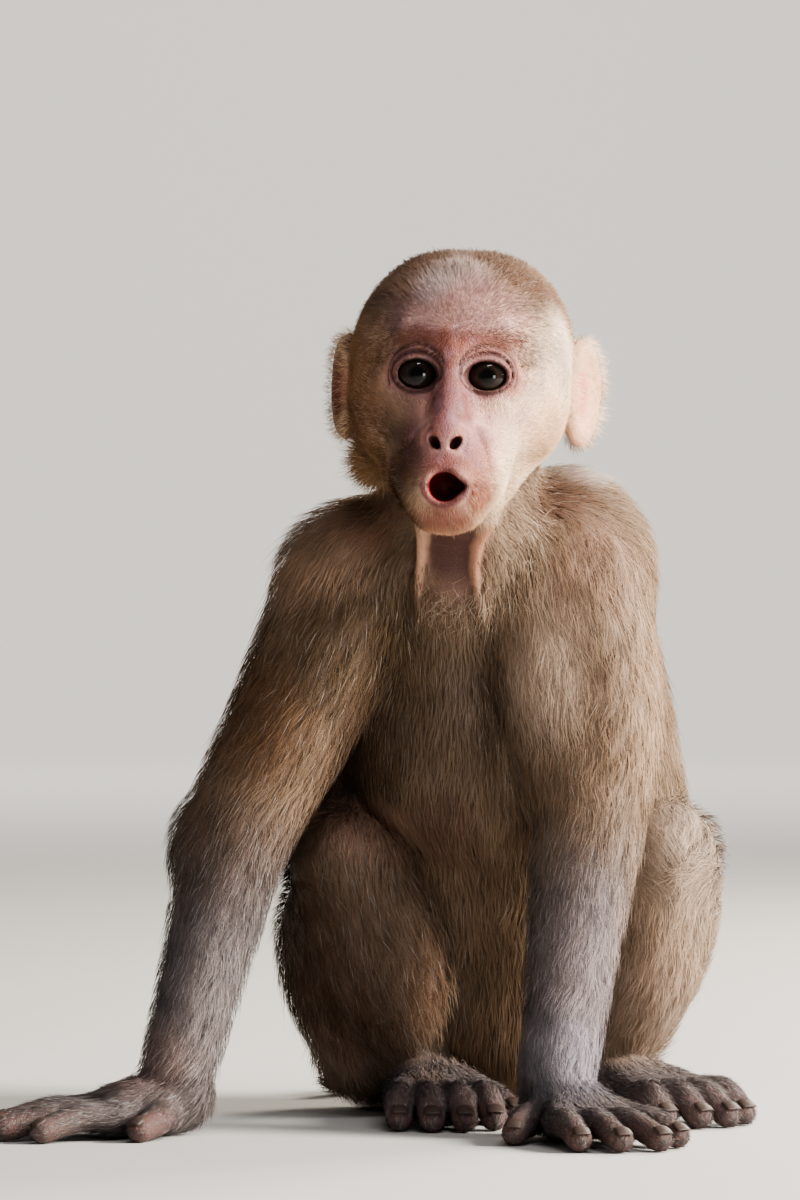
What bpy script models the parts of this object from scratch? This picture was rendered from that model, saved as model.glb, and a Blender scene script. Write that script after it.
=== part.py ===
# A young rhesus macaque, life size, sitting on its rump and leaning forward on both hands, with its lips
# pushed out in an O. It is a still model: the body is one blended surface, parted where the limbs,
# neck, ears and tail are named, with a thin gap between neighbours.
# Lengths in the tables below are millimetres. X is the animal's left, -Y its front, Z up, and the
# origin is the middle of the seat, on the floor. Every radius reaches the tips of the coat.
import math

import bpy
import numpy as np
from mathutils import Matrix, Vector

MM = 0.001
GAP = 1.14  # between neighbouring pieces
EYE_RADIUS = 8.0
EYE_GAP = 0.45  # between an eyeball and its socket

RIGHT, LEFT = -1, 1
SIDES = {RIGHT: "right", LEFT: "left"}

# ---- the head: its own frame starts between the eyes, at the depth of the ears
HEAD_AT = np.array([-19.0, -72.0, 233.5])
HEAD_YAW = -5.0  # degrees, the face turned to the animal's right
HEAD_ROLL = 2.0  # degrees, the crown leaning to the animal's left
EYE_AT = (10.7, -30.5, -1.6)
MOUTH_AT = (0, -60, -36)
EAR_AT = (36.0, 10, -4.4)
EAR_FLARE = 21.0  # degrees, the rear rim standing out from the head

# ---- wrists and heels, and the way that fingers and toes point: degrees from -Y towards +X
WRIST = {RIGHT: (-106.0, -81.0), LEFT: (10.0, -93.0)}
HAND_POINTS = {RIGHT: -70.0, LEFT: 24.0}
FINGER_FAN = {RIGHT: 15.0, LEFT: 11.0}
HEEL = {RIGHT: (-31.0, 2.0), LEFT: (17.0, 5.0)}
FOOT_POINTS = {RIGHT: 6.0, LEFT: 34.0}
ELBOW = {RIGHT: (-88.0, -54.0, 93.0), LEFT: (20.0, -68.0, 94.0)}
KNEE = {RIGHT: (-55.0, -26.0, 80.0), LEFT: (44.0, -26.0, 83.0)}
ANKLE = {RIGHT: (-31.0, -12.0, 19.0), LEFT: (25.0, -9.0, 19.0)}


def turned(yaw=0.0, pitch=0.0, roll=0.0):
    """Rotation by pitch about X, then yaw about Z, then roll about Y, in degrees."""
    turns = [Matrix.Rotation(math.radians(angle), 3, axis) for angle, axis in ((roll, "Y"), (yaw, "Z"), (pitch, "X"))]
    return np.array(turns[0] @ turns[1] @ turns[2])


HEAD_TURN = turned(yaw=HEAD_YAW, roll=HEAD_ROLL)


def in_head(point):
    return HEAD_AT + HEAD_TURN @ np.array(point, float)


# ---- masses: a ball is an ellipsoid, a limb a tube along a smooth curve of (x, y, z, radius)
masses = []


def ball(group, centre, radii, turn=None, blend=8.0, carve=False):
    turn = np.eye(3) if turn is None else turn
    masses.append(dict(group=group, centre=np.array(centre, float), radii=np.array(radii, float), turn=turn,
                       blend=(blend, blend), carve=carve, curve=None))


def limb(group, points, blend=8.0):
    blend = blend if isinstance(blend, tuple) else (blend, blend)
    masses.append(dict(group=group, curve=smooth_curve(points), blend=blend, carve=False))


def smooth_curve(points, spans=6):
    """Catmull-Rom samples through the points, radius included."""
    given = np.array(points, float)
    ends = np.vstack([2 * given[0] - given[1], given, 2 * given[-1] - given[-2]])
    samples = []
    for a, b, c, d in zip(ends, ends[1:], ends[2:], ends[3:]):
        for t in np.arange(spans) / spans:
            samples.append(0.5 * (2 * b + (c - a) * t + (2 * a - 5 * b + 4 * c - d) * t**2
                                  + (3 * b - a - 3 * c + d) * t**3))
    return np.array(samples + [given[-1]])


def head_ball(group, centre, radii, turn=None, **how):
    ball(group, in_head(centre), radii, HEAD_TURN if turn is None else HEAD_TURN @ turn, **how)


def head_limb(group, points, **how):
    limb(group, [(*in_head(point[:3]), point[3]) for point in points], **how)


def heading(start, degrees, length):
    angle = math.radians(degrees)
    return start[0] + length * math.sin(angle), start[1] - length * math.cos(angle)


# ---- trunk
ball("trunk", (0, 4, 35.5), (42, 40, 38), blend=10)  # rump
limb("trunk", [(-14, -22, 184, 23), (-10, -6, 150, 29), (-3, 2, 112, 33), (1, 6, 72, 35), (0, 10, 42, 34)],
     blend=16)  # spine
ball("trunk", (1, -9, 83), (49, 36, 46), turned(pitch=-12), blend=16)  # belly
ball("trunk", (0, 0, 100), (54, 28, 30), blend=14)  # flanks
ball("trunk", (28, -6, 122), (23, 24, 36), blend=14)
ball("trunk", (-40, -6, 112), (19, 22, 28), blend=14)
ball("trunk", (-54, -4, 104), (14, 18, 16), blend=12)
ball("trunk", (-11, -29, 128), (45, 33, 48), turned(pitch=-20, roll=-8), blend=16)  # rib cage
ball("trunk", (-19, -42, 166), (50, 27, 28), blend=16)  # shoulder girdle
limb("trunk", [(-8, -34, 182, 22), (20, -30, 182, 21), (24, -20, 150, 20)], blend=14)  # left shoulder blade
limb("trunk", [(-30, -34, 182, 21), (-52, -34, 174, 18), (-42, -20, 146, 18)], blend=14)  # right shoulder blade
ball("trunk", (11, -34, 192), (18, 17, 14.5), blend=9)  # fur at the side of the neck
limb("neck", [(-20, -40, 178, 28), (-20, -48, 204, 24)], blend=9)
limb("neck", [(-20, -52, 182, 22), (-21, -82, 198, 13)], blend=12)  # throat

# ---- arms
SHOULDER = {RIGHT: [(-54, -46, 170, 24), (-69, -50, 132, 22.5)], LEFT: [(17, -46, 170, 23), (24, -56, 130, 21.5)]}
FOREARM_MIDDLE = {RIGHT: (-97, -64, 57), LEFT: (15, -78, 56)}
for side in SIDES:
    limb(f"arm_{SIDES[side]}", SHOULDER[side] + [(*ELBOW[side], 19.2), (*FOREARM_MIDDLE[side], 15.5),
                                                 (*WRIST[side], 20, 13)], blend=(14, 3))
ball("arm_right", (-97, -50, 88), (13.5, 15, 16), blend=9)  # point of the elbow
limb("arm_left", [(4, -50, 162, 18), (9, -56, 136, 19.5), (15, -62, 110, 18)], blend=6)  # its inner side

# ---- hands flat on the floor: (offset across the knuckles, length) of each finger
KNUCKLES = 26.0  # from the wrist
FINGERS = [(-12.5, 27), (-4.2, 31), (4.2, 32), (12.5, 26)]
for side in SIDES:
    group, wrist, points = f"arm_{SIDES[side]}", WRIST[side], HAND_POINTS[side]
    for across, length in FINGERS:
        slant = math.degrees(math.atan2(across, KNUCKLES))
        knuckle = heading(wrist, points + slant, KNUCKLES)
        outward = points + FINGER_FAN[side] * across / FINGERS[-1][0]
        limb(group, [(*wrist, 12, 9.5), (*heading(wrist, points + slant * 0.8, 14), 9.5, 8), (*knuckle, 7.2, 6)],
             blend=5)
        limb(group, [(*knuckle, 7.2, 5.8), (*heading(knuckle, outward, length / 2), 7.2, 4.8),
                     (*heading(knuckle, outward, length), 3.9, 4.2)], blend=1.6)
    inward = -side
    limb(group, [(*heading(wrist, points + inward * 40, 6), 9, 7.5), (*heading(wrist, points + inward * 56, 19), 6.4, 5.4),
                 (*heading(wrist, points + inward * 50, 31), 3.9, 4.2)], blend=(4, 1.6))  # thumb

# ---- legs folded in front of the rump, with one haunch down on the floor
ball("leg_right", (-41, 21, 21), (27, 23, 22), blend=12)
ball("leg_right", (-57, -20, 87), (17.5, 18, 18), blend=7)  # top of the knee
HIP = {RIGHT: [(-28, 14, 38, 35), (-46, -6, 58, 30)], LEFT: [(20, 14, 38, 34), (36, -6, 60, 28)]}
SHIN_MIDDLE = {RIGHT: (-47, -24, 50, 20), LEFT: (40, -22, 50, 19)}
for side in SIDES:
    group = f"leg_{SIDES[side]}"
    limb(group, HIP[side] + [(*KNEE[side], 20)], blend=(14, 4))
    limb(group, [(*KNEE[side], 19.3), SHIN_MIDDLE[side], (*ANKLE[side], 12.5)], blend=6)
limb("leg_right", [(-48, -25, 76, 18.5), (-38, -24, 50, 20), (-32, -16, 26, 13)], blend=6)  # its inner side
limb("leg_right", [(-56, -8, 58, 22), (-54, -6, 42, 22.5), (-49, 0, 24, 18)], blend=8)  # its outer side

# ---- feet: (offset across the sole, length from the heel) of each toe
BALL_OF_FOOT = 50.0
TOES = [(-11.5, 70), (-3.9, 75), (3.9, 76), (11.5, 71)]
for side in SIDES:
    group, heel, points = f"foot_{SIDES[side]}", HEEL[side], FOOT_POINTS[side]

    def on_foot(along, across):
        return heading(heading(heel, points, along), points + 90, across)

    limb(group, [(*heel, 10, 10.3), (*on_foot(16, 0), 13, 11), (*on_foot(30, 0), 11, 10)], blend=6)
    for across, length in TOES:
        limb(group, [(*on_foot(22, across * 0.4), 12, 9), (*on_foot(38, across * 0.8), 10.5, 7.5),
                     (*on_foot(BALL_OF_FOOT, across), 8.5, 6.6)], blend=5)
        joint = BALL_OF_FOOT + (length - BALL_OF_FOOT) * 0.55
        limb(group, [(*on_foot(BALL_OF_FOOT, across), 8.5, 6.4), (*on_foot(joint, across * 1.18), 9.6, 5.5),
                     (*on_foot(length, across * 1.28), 4.1, 4.5)], blend=1.8)
    inward = -side
    limb(group, [(*on_foot(18, inward * 5), 9, 8), (*on_foot(36, inward * 17), 7.2, 6.2),
                 (*on_foot(51, inward * 23), 4.3, 4.7)], blend=(5, 2))  # big toe

# ---- tail, down from the rump and curled along the floor
limb("tail", [(0, 34, 34, 14), (2, 50, 18, 11), (0, 66, 9, 9.2), (-10, 82, 7.4, 7.8), (-28, 90, 6.7, 7.1),
              (-48, 86, 6, 6.4), (-60, 72, 5.2, 5.6)], blend=(8, 4))

# ---- head
head_ball("head", (0, 8, 5), (35.8, 44, 34.8), blend=8)  # brain case
for side in SIDES:
    head_ball("head", (side * 9, 8, 9), (22, 31, 28), blend=6)
head_ball("head", (0, 24, -8), (29, 28, 27), blend=14)  # nape
head_ball("head", (0, -16, 4), (31, 20, 27), blend=12)  # forehead
for side in SIDES:
    head_ball("head", (side * 17.5, -12, -11.5), (16, 21, 16), blend=9)  # cheekbone
    head_limb("head", [(side * 15, -4, -18, 12), (side * 7, -27, -36.5, 9.5)], blend=8)  # jaw
    head_limb("head", [(side * 12, -24, -12, 12), (side * 6.5, -42, -30, 10)], blend=9)  # cheek to muzzle
head_ball("head", (-21, 2, -26), (13, 9, 12), blend=5)  # fringe of the right cheek
head_ball("head", (-1, -12, -29), (18, 24, 18), blend=9)  # floor of the mouth
head_ball("head", (0, -38, -31), (16.5, 17, 15), blend=7)  # muzzle
head_limb("head", [(-13, -31, 10.5, 5.5), (0, -33.5, 8, 5.5), (13, -31, 10.5, 5.5)], blend=7)  # brow
head_limb("head", [(0, -34, 3, 5.2), (0, -41.5, -8, 5.6), (0, -49.4, -19, 5.6)], blend=7)  # nose
head_ball("head", (0, -50.5, -20.6), (7.2, 5.5, 4.8), blend=3.5)  # wings of the nose
head_ball("head", (0, -43, -42.5), (11, 11, 8), blend=6)  # chin
head_ball("head", (0, -50, -36.4), (11.5, 10, 8.6), blend=6)  # lips
for side in SIDES:
    flare = turned(yaw=-side * EAR_FLARE)
    ear = f"ear_{SIDES[side]}"
    middle = np.array((side * EAR_AT[0], *EAR_AT[1:]))
    hollow = middle + flare @ (side * 4.4, -0.8, 0)
    head_ball(ear, middle, (4.6, 11.5, 17), flare, blend=2.5)
    head_ball(ear, hollow, (4.4, 8.8, 13.4), flare, blend=1, carve=True)
    head_ball("head", (side * EYE_AT[0], EYE_AT[1], EYE_AT[2]), (9.6, 9.6, 9.6), blend=2)  # lids
    head_ball("head", (side * EYE_AT[0], EYE_AT[1] - 11.5, EYE_AT[2]), (6.9, 8, 5.1), blend=0.8, carve=True)
    head_ball("head", (side * 3.2, -54.5, -22.7), (2.2, 3.5, 1.9), turned(roll=side * 20), blend=0.6, carve=True)
head_ball("head", MOUTH_AT, (5.7, 13, 5.0), blend=1.2, carve=True)
for side in SIDES:
    head_ball("head", (side * EYE_AT[0], EYE_AT[1], EYE_AT[2]), [EYE_RADIUS + EYE_GAP] * 3, blend=0.2, carve=True)


# ---- distances from points to the masses
def box_of(mass, margin):
    if mass["curve"] is None:
        reach = np.sqrt(mass["turn"]**2 @ mass["radii"]**2) + margin
        return mass["centre"] - reach, mass["centre"] + reach
    reach = mass["curve"][:, 3].max() + margin
    return mass["curve"][:, :3].min(axis=0) - reach, mass["curve"][:, :3].max(axis=0) + reach


def distance(mass, points):
    """(distance to the mass, blend there) of each point."""
    if mass["curve"] is None:
        local = (points - mass["centre"]) @ mass["turn"]
        reach = np.linalg.norm(local / mass["radii"], axis=1)
        slope = np.linalg.norm(local / mass["radii"]**2, axis=1)
        return reach * (reach - 1) / np.maximum(slope, 1e-9), mass["blend"][0]
    curve = mass["curve"]
    nearest = np.full(len(points), np.inf)
    along = np.zeros(len(points))
    for i, (start, end) in enumerate(zip(curve[:, :3], curve[1:, :3])):
        span = end - start
        away = points - start
        t = np.clip(away @ (span / (span @ span)), 0, 1)
        away -= t[:, None] * span
        gap = np.sqrt(np.einsum("ij,ij->i", away, away)) - curve[i, 3] - (curve[i + 1, 3] - curve[i, 3]) * t
        closer = gap < nearest
        nearest[closer] = gap[closer]
        along[closer] = i + t[closer]
    share = along / (len(curve) - 1)
    return nearest, mass["blend"][0] + (mass["blend"][1] - mass["blend"][0]) * share


def join(one, other, blend):
    share = np.clip(0.5 + 0.5 * (one - other) / blend, 0, 1)
    return one + (other - one) * share - blend * share * (1 - share)


FAR = 40.0


def fields_at(points, group):
    """At each point: the blended body, the bare distance to the group, and to the nearest other group."""
    body, own, others = (np.full(len(points), FAR) for _ in range(3))
    for mass in masses:
        low, high = box_of(mass, max(mass["blend"]) + 6)
        near = np.flatnonzero(((points > low) & (points < high)).all(axis=1))
        if not len(near):
            continue
        reach, blend = distance(mass, points[near])
        if mass["carve"]:
            body[near] = -join(-body[near], reach, blend)
            continue
        body[near] = join(body[near], reach, blend)
        bare = own if mass["group"] == group else others
        bare[near] = np.minimum(bare[near], reach)
    return body, own, others


BLOCK = 4  # grid points along a block: only blocks near a surface are worked out in full


def spread(values):
    for axis in range(3):
        values = np.repeat(values, BLOCK, axis=axis)
    return values


def points_of(axes, chosen):
    return np.stack([axis[at] for axis, at in zip(axes, np.nonzero(chosen))], axis=1)


def field_of(node):
    """(axes, field) that is below zero inside the node."""
    step = node["step"]
    boxes = [box_of(mass, 5) for mass in masses if mass["group"] == node["group"] and not mass["carve"]]
    low, high = np.min([box[0] for box in boxes], axis=0), np.max([box[1] for box in boxes], axis=0)
    low[2] = max(low[2], -2.5 * step)
    blocks = [int((high[i] - low[i]) / (step * BLOCK)) + 1 for i in range(3)]
    axes = [low[i] + step * np.arange(blocks[i] * BLOCK) for i in range(3)]
    middles = [axis.reshape(-1, BLOCK).mean(axis=1) for axis in axes]
    rough = [values.reshape(blocks) for values in fields_at(points_of(middles, np.ones(blocks, bool)), node["group"])]
    close = step * BLOCK * 1.5
    worth = (np.abs(rough[0]) < close) | ((rough[0] < close) & (np.abs(rough[1] - rough[2]) < 2 * close))
    for point, normal in node.get("behind", []):
        offset = sum((middles[i] - point[i]).reshape([-1 if i == k else 1 for k in range(3)]) * normal[i] for i in range(3))
        worth |= (rough[0] < close) & (np.abs(offset) < close)
    worth |= (rough[0] < close) & (np.abs(middles[2]) < close)
    chosen = spread(worth)
    body, own, others = (spread(values) for values in rough)
    points = points_of(axes, chosen)
    body[chosen], own[chosen], others[chosen] = fields_at(points, node["group"])
    lead = own - others
    slope = np.sqrt(sum(part**2 for part in np.gradient(lead, step)))
    field = np.maximum(body, lead / np.clip(slope, 0.5, 2.5) + GAP / 2)
    grid = np.stack(np.meshgrid(*axes, indexing="ij"), axis=-1)
    for point, normal in node.get("behind", []):
        field = np.maximum(field, (grid - point) @ normal + GAP / 2)
    return axes, np.maximum(field, -grid[..., 2])


# ---- surface of a field: one point in each cell that it crosses
CORNERS = [(i, j, k) for i in (0, 1) for j in (0, 1) for k in (0, 1)]


def without_pinches(field):
    """Fills corners of cells where two sheets would touch along an edge."""
    for _ in range(12):
        changed = False
        for axis in range(3):
            u, v = [a for a in range(3) if a != axis]

            def corner(du, dv):
                cut = [slice(None)] * 3
                cut[u] = slice(du, field.shape[u] - 1 + du)
                cut[v] = slice(dv, field.shape[v] - 1 + dv)
                return tuple(cut)

            a, b, c, d = (field[corner(*at)] < 0 for at in ((0, 0), (1, 0), (1, 1), (0, 1)))
            for same, others, fill in ((a & c, b | d, (1, 0)), (b & d, a | c, (0, 0))):
                pinched = same & ~others
                if pinched.any():
                    field[corner(*fill)][pinched] = -0.05
                    changed = True
        if not changed:
            break
    return field


def surface(axes, field):
    """(points, quads) of the zero level of the field."""
    inside = field < 0
    cells = tuple(n - 1 for n in field.shape)

    def corner_of(values, at):
        return values[tuple(slice(a, a + n) for a, n in zip(at, cells))]

    count = sum(corner_of(inside, at).astype(int) for at in CORNERS)
    active = np.argwhere((count > 0) & (count < 8))
    index = np.full(cells, -1)
    index[tuple(active.T)] = np.arange(len(active))
    values = {at: field[tuple((active + at).T)] for at in CORNERS}
    total, crossings = np.zeros((len(active), 3)), np.zeros((len(active), 1))
    for one in CORNERS:
        for axis in range(3):
            if one[axis]:
                continue
            other = tuple(one[i] + (i == axis) for i in range(3))
            a, b = values[one], values[other]
            crosses = ((a < 0) != (b < 0))[:, None]
            t = np.divide(a, a - b, out=np.zeros_like(a), where=crosses[:, 0])[:, None]
            total += crosses * (np.array(one) + t * (np.array(other) - one))
            crossings += crosses
    step = axes[0][1] - axes[0][0]
    points = np.array([axis[0] for axis in axes]) + (active + total / crossings) * step
    quads = []
    for axis in range(3):
        u, v = (axis + 1) % 3, (axis + 2) % 3
        cut = [slice(1, -1)] * 3
        cut[axis] = slice(None, -1)
        near = inside[tuple(cut)]
        cut[axis] = slice(1, None)
        far = inside[tuple(cut)]
        for leaving, mask in ((True, near & ~far), (False, ~near & far)):
            cell = np.argwhere(mask)
            cell[:, u] += 1
            cell[:, v] += 1
            ring = []
            for du, dv in ((-1, -1), (0, -1), (0, 0), (-1, 0)):
                at = cell.copy()
                at[:, u] += du
                at[:, v] += dv
                ring.append(index[tuple(at.T)])
            quads.append(np.stack(ring if leaving else ring[::-1], axis=1))
    return points, np.concatenate(quads)


# ---- nodes: where a group is divided again, by planes (point, normal) that a node lies behind
def unit(vector):
    return np.array(vector, float) / np.linalg.norm(vector)


def towards(start, end):
    return unit(np.array(end, float) - np.array(start, float))


GOLDEN, GREY, PINK, BROWN = (0.42, 0.29, 0.17), (0.30, 0.25, 0.23), (0.62, 0.42, 0.36), (0.33, 0.22, 0.13)
nodes = [
    dict(name="head", group="head", step=0.95, triangles=2100, colour=(0.52, 0.38, 0.27)),
    dict(name="neck", group="neck", step=1.4, triangles=340, colour=GOLDEN),
    dict(name="trunk", group="trunk", step=1.5, triangles=1480, colour=GOLDEN),
    dict(name="tail", group="tail", step=1.1, triangles=300, colour=BROWN),
]
for side, word in SIDES.items():
    wrist, elbow = np.array((*WRIST[side], 20)), np.array(ELBOW[side])
    knee, ankle, hip = np.array(KNEE[side]), np.array(ANKLE[side]), np.array(HIP[side][0][:3])
    wrist_cut = wrist, towards(FOREARM_MIDDLE[side], wrist)
    elbow_cut = elbow, towards(SHOULDER[side][1][:3], FOREARM_MIDDLE[side])
    knee_cut = knee, unit(towards(knee, ankle) - towards(knee, hip))  # across the fold of the knee

    def back(cut):
        return cut[0], -cut[1]

    nodes += [
        dict(name=f"ear_{word}", group=f"ear_{word}", step=0.75, triangles=240, colour=PINK),
        dict(name=f"upper_arm_{word}", group=f"arm_{word}", step=1.4, triangles=300, colour=GOLDEN, behind=[elbow_cut]),
        dict(name=f"forearm_{word}", group=f"arm_{word}", step=1.3, triangles=260, colour=GREY,
             behind=[back(elbow_cut), wrist_cut]),
        dict(name=f"hand_{word}", group=f"arm_{word}", step=0.95, triangles=600, colour=GREY, behind=[back(wrist_cut)]),
        dict(name=f"thigh_{word}", group=f"leg_{word}", step=1.4, triangles=300, colour=BROWN, behind=[knee_cut]),
        dict(name=f"shin_{word}", group=f"leg_{word}", step=1.2, triangles=340, colour=BROWN, behind=[back(knee_cut)]),
        dict(name=f"foot_{word}", group=f"foot_{word}", step=0.95, triangles=560, colour=GREY),
    ]


def largest_piece(points, quads):
    """Drops the crumbs that the parting may leave beside the piece."""
    parent = np.arange(len(points))
    while True:
        least = parent[quads].min(axis=1)
        before = parent.copy()
        for corner in range(4):
            np.minimum.at(parent, quads[:, corner], least)
        parent = parent[parent]
        if (parent == before).all():
            break
    names, sizes = np.unique(parent[quads[:, 0]], return_counts=True)
    kept = quads[parent[quads[:, 0]] == names[sizes.argmax()]]
    used, kept = np.unique(kept, return_inverse=True)
    return points[used], kept.reshape(-1, 4)


def node_surface(node):
    axes, field = field_of(node)
    return largest_piece(*surface(axes, without_pinches(field)))


# ---- objects
def material(name, colour, roughness=0.8):
    made = bpy.data.materials.new(name)
    made.use_nodes = True
    shader = made.node_tree.nodes["Principled BSDF"]
    shader.inputs["Base Color"].default_value = (*colour, 1)
    shader.inputs["Roughness"].default_value = roughness
    made.diffuse_color = (*colour, 1)
    return made


def solid_from(node):
    points, quads = node_surface(node)
    mesh = bpy.data.meshes.new(node["name"])
    mesh.from_pydata((points * MM).tolist(), [], quads.tolist())
    draft = bpy.data.objects.new(node["name"], mesh)
    bpy.context.collection.objects.link(draft)
    fewer = draft.modifiers.new("fewer", "DECIMATE")
    fewer.ratio = node["triangles"] / (2 * len(quads))
    graph = bpy.context.evaluated_depsgraph_get()
    thinned = bpy.data.meshes.new_from_object(draft.evaluated_get(graph))
    draft.modifiers.clear()
    draft.data = thinned
    thinned.name = node["name"]
    bpy.data.meshes.remove(mesh)
    for vertex in thinned.vertices:
        if vertex.co.z < FLOOR_SNAP * MM:
            vertex.co.z = 0
    thinned.polygons.foreach_set("use_smooth", [True] * len(thinned.polygons))
    thinned.set_sharp_from_angle(angle=math.radians(50))
    thinned.materials.append(material(node["name"], node["colour"]))
    return draft


FLOOR_SNAP = 0.25  # anything this low rests on the floor

for thing in list(bpy.data.objects):
    bpy.data.objects.remove(thing)
for node in nodes:
    solid_from(node)
for side, word in SIDES.items():
    bpy.ops.mesh.primitive_uv_sphere_add(segments=16, ring_count=10, radius=EYE_RADIUS * MM)
    eye = bpy.context.object
    eye.name = eye.data.name = f"eye_{word}"
    turn = Matrix(HEAD_TURN.tolist()).to_4x4() @ Matrix.Rotation(math.radians(90), 4, "X")
    eye.matrix_world = Matrix.Translation(Vector(in_head((side * EYE_AT[0], *EYE_AT[1:])) * MM)) @ turn
    eye.data.polygons.foreach_set("use_smooth", [True] * len(eye.data.polygons))
    eye.data.materials.append(material(eye.name, (0.03, 0.018, 0.012), 0.1))
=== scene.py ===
import math

import bpy
import numpy as np
from mathutils import Matrix, Vector


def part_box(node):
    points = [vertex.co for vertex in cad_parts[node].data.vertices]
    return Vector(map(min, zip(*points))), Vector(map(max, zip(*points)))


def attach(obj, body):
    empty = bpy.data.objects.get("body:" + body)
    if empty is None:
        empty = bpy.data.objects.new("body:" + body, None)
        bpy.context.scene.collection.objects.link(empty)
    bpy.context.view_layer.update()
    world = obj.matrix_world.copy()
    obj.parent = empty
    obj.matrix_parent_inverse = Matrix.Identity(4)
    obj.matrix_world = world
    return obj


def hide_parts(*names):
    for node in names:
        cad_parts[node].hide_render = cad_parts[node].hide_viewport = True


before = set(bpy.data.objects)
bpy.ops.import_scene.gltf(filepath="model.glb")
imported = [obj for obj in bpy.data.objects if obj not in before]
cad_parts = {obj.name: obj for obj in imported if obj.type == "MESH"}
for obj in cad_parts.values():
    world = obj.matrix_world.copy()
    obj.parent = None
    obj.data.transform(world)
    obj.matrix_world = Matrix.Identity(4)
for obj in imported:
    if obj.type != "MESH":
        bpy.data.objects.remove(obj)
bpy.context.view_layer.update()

mm = 0.001
right, left = -1, 1
sides = {right: "right", left: "left"}
scene = bpy.context.scene


def linear(red, green, blue):  # a screen colour from 0 to 255 as the light it stands for
    values = np.array([red, green, blue]) / 255
    return np.where(values > 0.04045, ((values + 0.055) / 1.055) ** 2.4, values / 12.92)


def unit(vectors):
    return vectors / np.maximum(np.linalg.norm(vectors, axis=-1, keepdims=True), 1e-9)


def smooth(values, start, end):
    share = np.clip((values - start) / (end - start), 0, 1)
    return share * share * (3 - 2 * share)


def ripple(points, size, seed):  # soft noise from -1 to 1 with lumps about this size
    draw = np.random.default_rng(seed)
    total = np.zeros(len(points))
    for _ in range(7):
        wave = unit(draw.normal(size=3)) * 2 * math.pi / (size * draw.uniform(0.7, 1.5))
        total += np.sin(points @ wave + draw.uniform(0, 6.28))
    return total / 2.6


def drift(points, size, seed):  # soft noise in each direction
    return np.stack([ripple(points, size, seed + axis) for axis in range(3)], axis=1)


def turned(yaw=0.0, pitch=0.0, roll=0.0):
    angles = ((roll, "Y"), (yaw, "Z"), (pitch, "X"))
    first, second, third = (Matrix.Rotation(math.radians(angle), 3, axis) for angle, axis in angles)
    return np.array(first @ second @ third)


# The head's own frame: it starts between the eyes, at the depth of the ears. Lengths are millimetres.
eyeAt = (10.7, -30.5, -1.6)
eyeRadius = 8.0
headTurn = turned(yaw=-5.0, roll=2.0)
eyeMiddles = {side: np.array(sum(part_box("eye_" + word), Vector()) / 2) / mm for side, word in sides.items()}
headAt = (eyeMiddles[right] + eyeMiddles[left]) / 2 - headTurn @ np.array([0, eyeAt[1], eyeAt[2]])


def inHead(point):
    return headAt + headTurn @ np.array(point, float)


def toHead(points):
    return (points - headAt) @ headTurn


# A mass is a ball or a tube. Its coat is the depth of fur over the skin, its hair the length of a tuft,
# and its lie the way that the hair points: a direction, or 1 or -1 along the tube. A pair of values
# holds for the two ends of a tube, and a mass that carves is cut away.
masses = []


def pair(value):
    return value if isinstance(value, tuple) else (value, value)


def newMass(group, curve=None, blend=8.0, carve=False, coat=0.0, hair=0.0, lie=1, fold=False, **shape):
    return dict(group=group, curve=curve, blend=pair(blend), carve=carve, coat=pair(coat), hair=pair(hair),
        lie=lie, fold=fold, **shape)


def ball(group, centre, radii, turn=None, lie=(0, 0, -1), **how):
    masses.append(newMass(group, centre=np.array(centre, float), radii=np.array(radii, float),
        turn=np.eye(3) if turn is None else turn, lie=lie, **how))


def limb(group, points, **how):
    masses.append(newMass(group, smoothCurve(points), **how))


def smoothCurve(points, spans=6):  # a curve through the given points
    given = np.array(points, float)
    ends = np.vstack([2 * given[0] - given[1], given, 2 * given[-1] - given[-2]])
    samples = []
    for a, b, c, d in zip(ends, ends[1:], ends[2:], ends[3:]):
        for t in np.arange(spans) / spans:
            samples.append(0.5 * (2 * b + (c - a) * t + (2 * a - 5 * b + 4 * c - d) * t**2
                + (3 * b - a - 3 * c + d) * t**3))
    return np.array(samples + [given[-1]])


def headBall(centre, radii, turn=None, group="head", **how):
    ball(group, inHead(centre), radii, headTurn if turn is None else headTurn @ turn, **how)


def headLimb(points, **how):
    limb("head", [(*inHead(point[:3]), point[3]) for point in points], **how)


def heading(start, degrees, length):
    angle = math.radians(degrees)
    return start[0] + length * math.sin(angle), start[1] - length * math.cos(angle)


wrist = {right: (-106.0, -81.0), left: (10.0, -93.0)}
handPoints = {right: -70.0, left: 24.0}
fingerFan = {right: 15.0, left: 11.0}
heel = {right: (-31.0, 2.0), left: (17.0, 5.0)}
footPoints = {right: 6.0, left: 34.0}
elbow = {right: (-88.0, -54.0, 93.0), left: (20.0, -68.0, 94.0)}
knee = {right: (-55.0, -26.0, 80.0), left: (44.0, -26.0, 83.0)}
ankle = {right: (-31.0, -12.0, 19.0), left: (25.0, -9.0, 19.0)}

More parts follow.
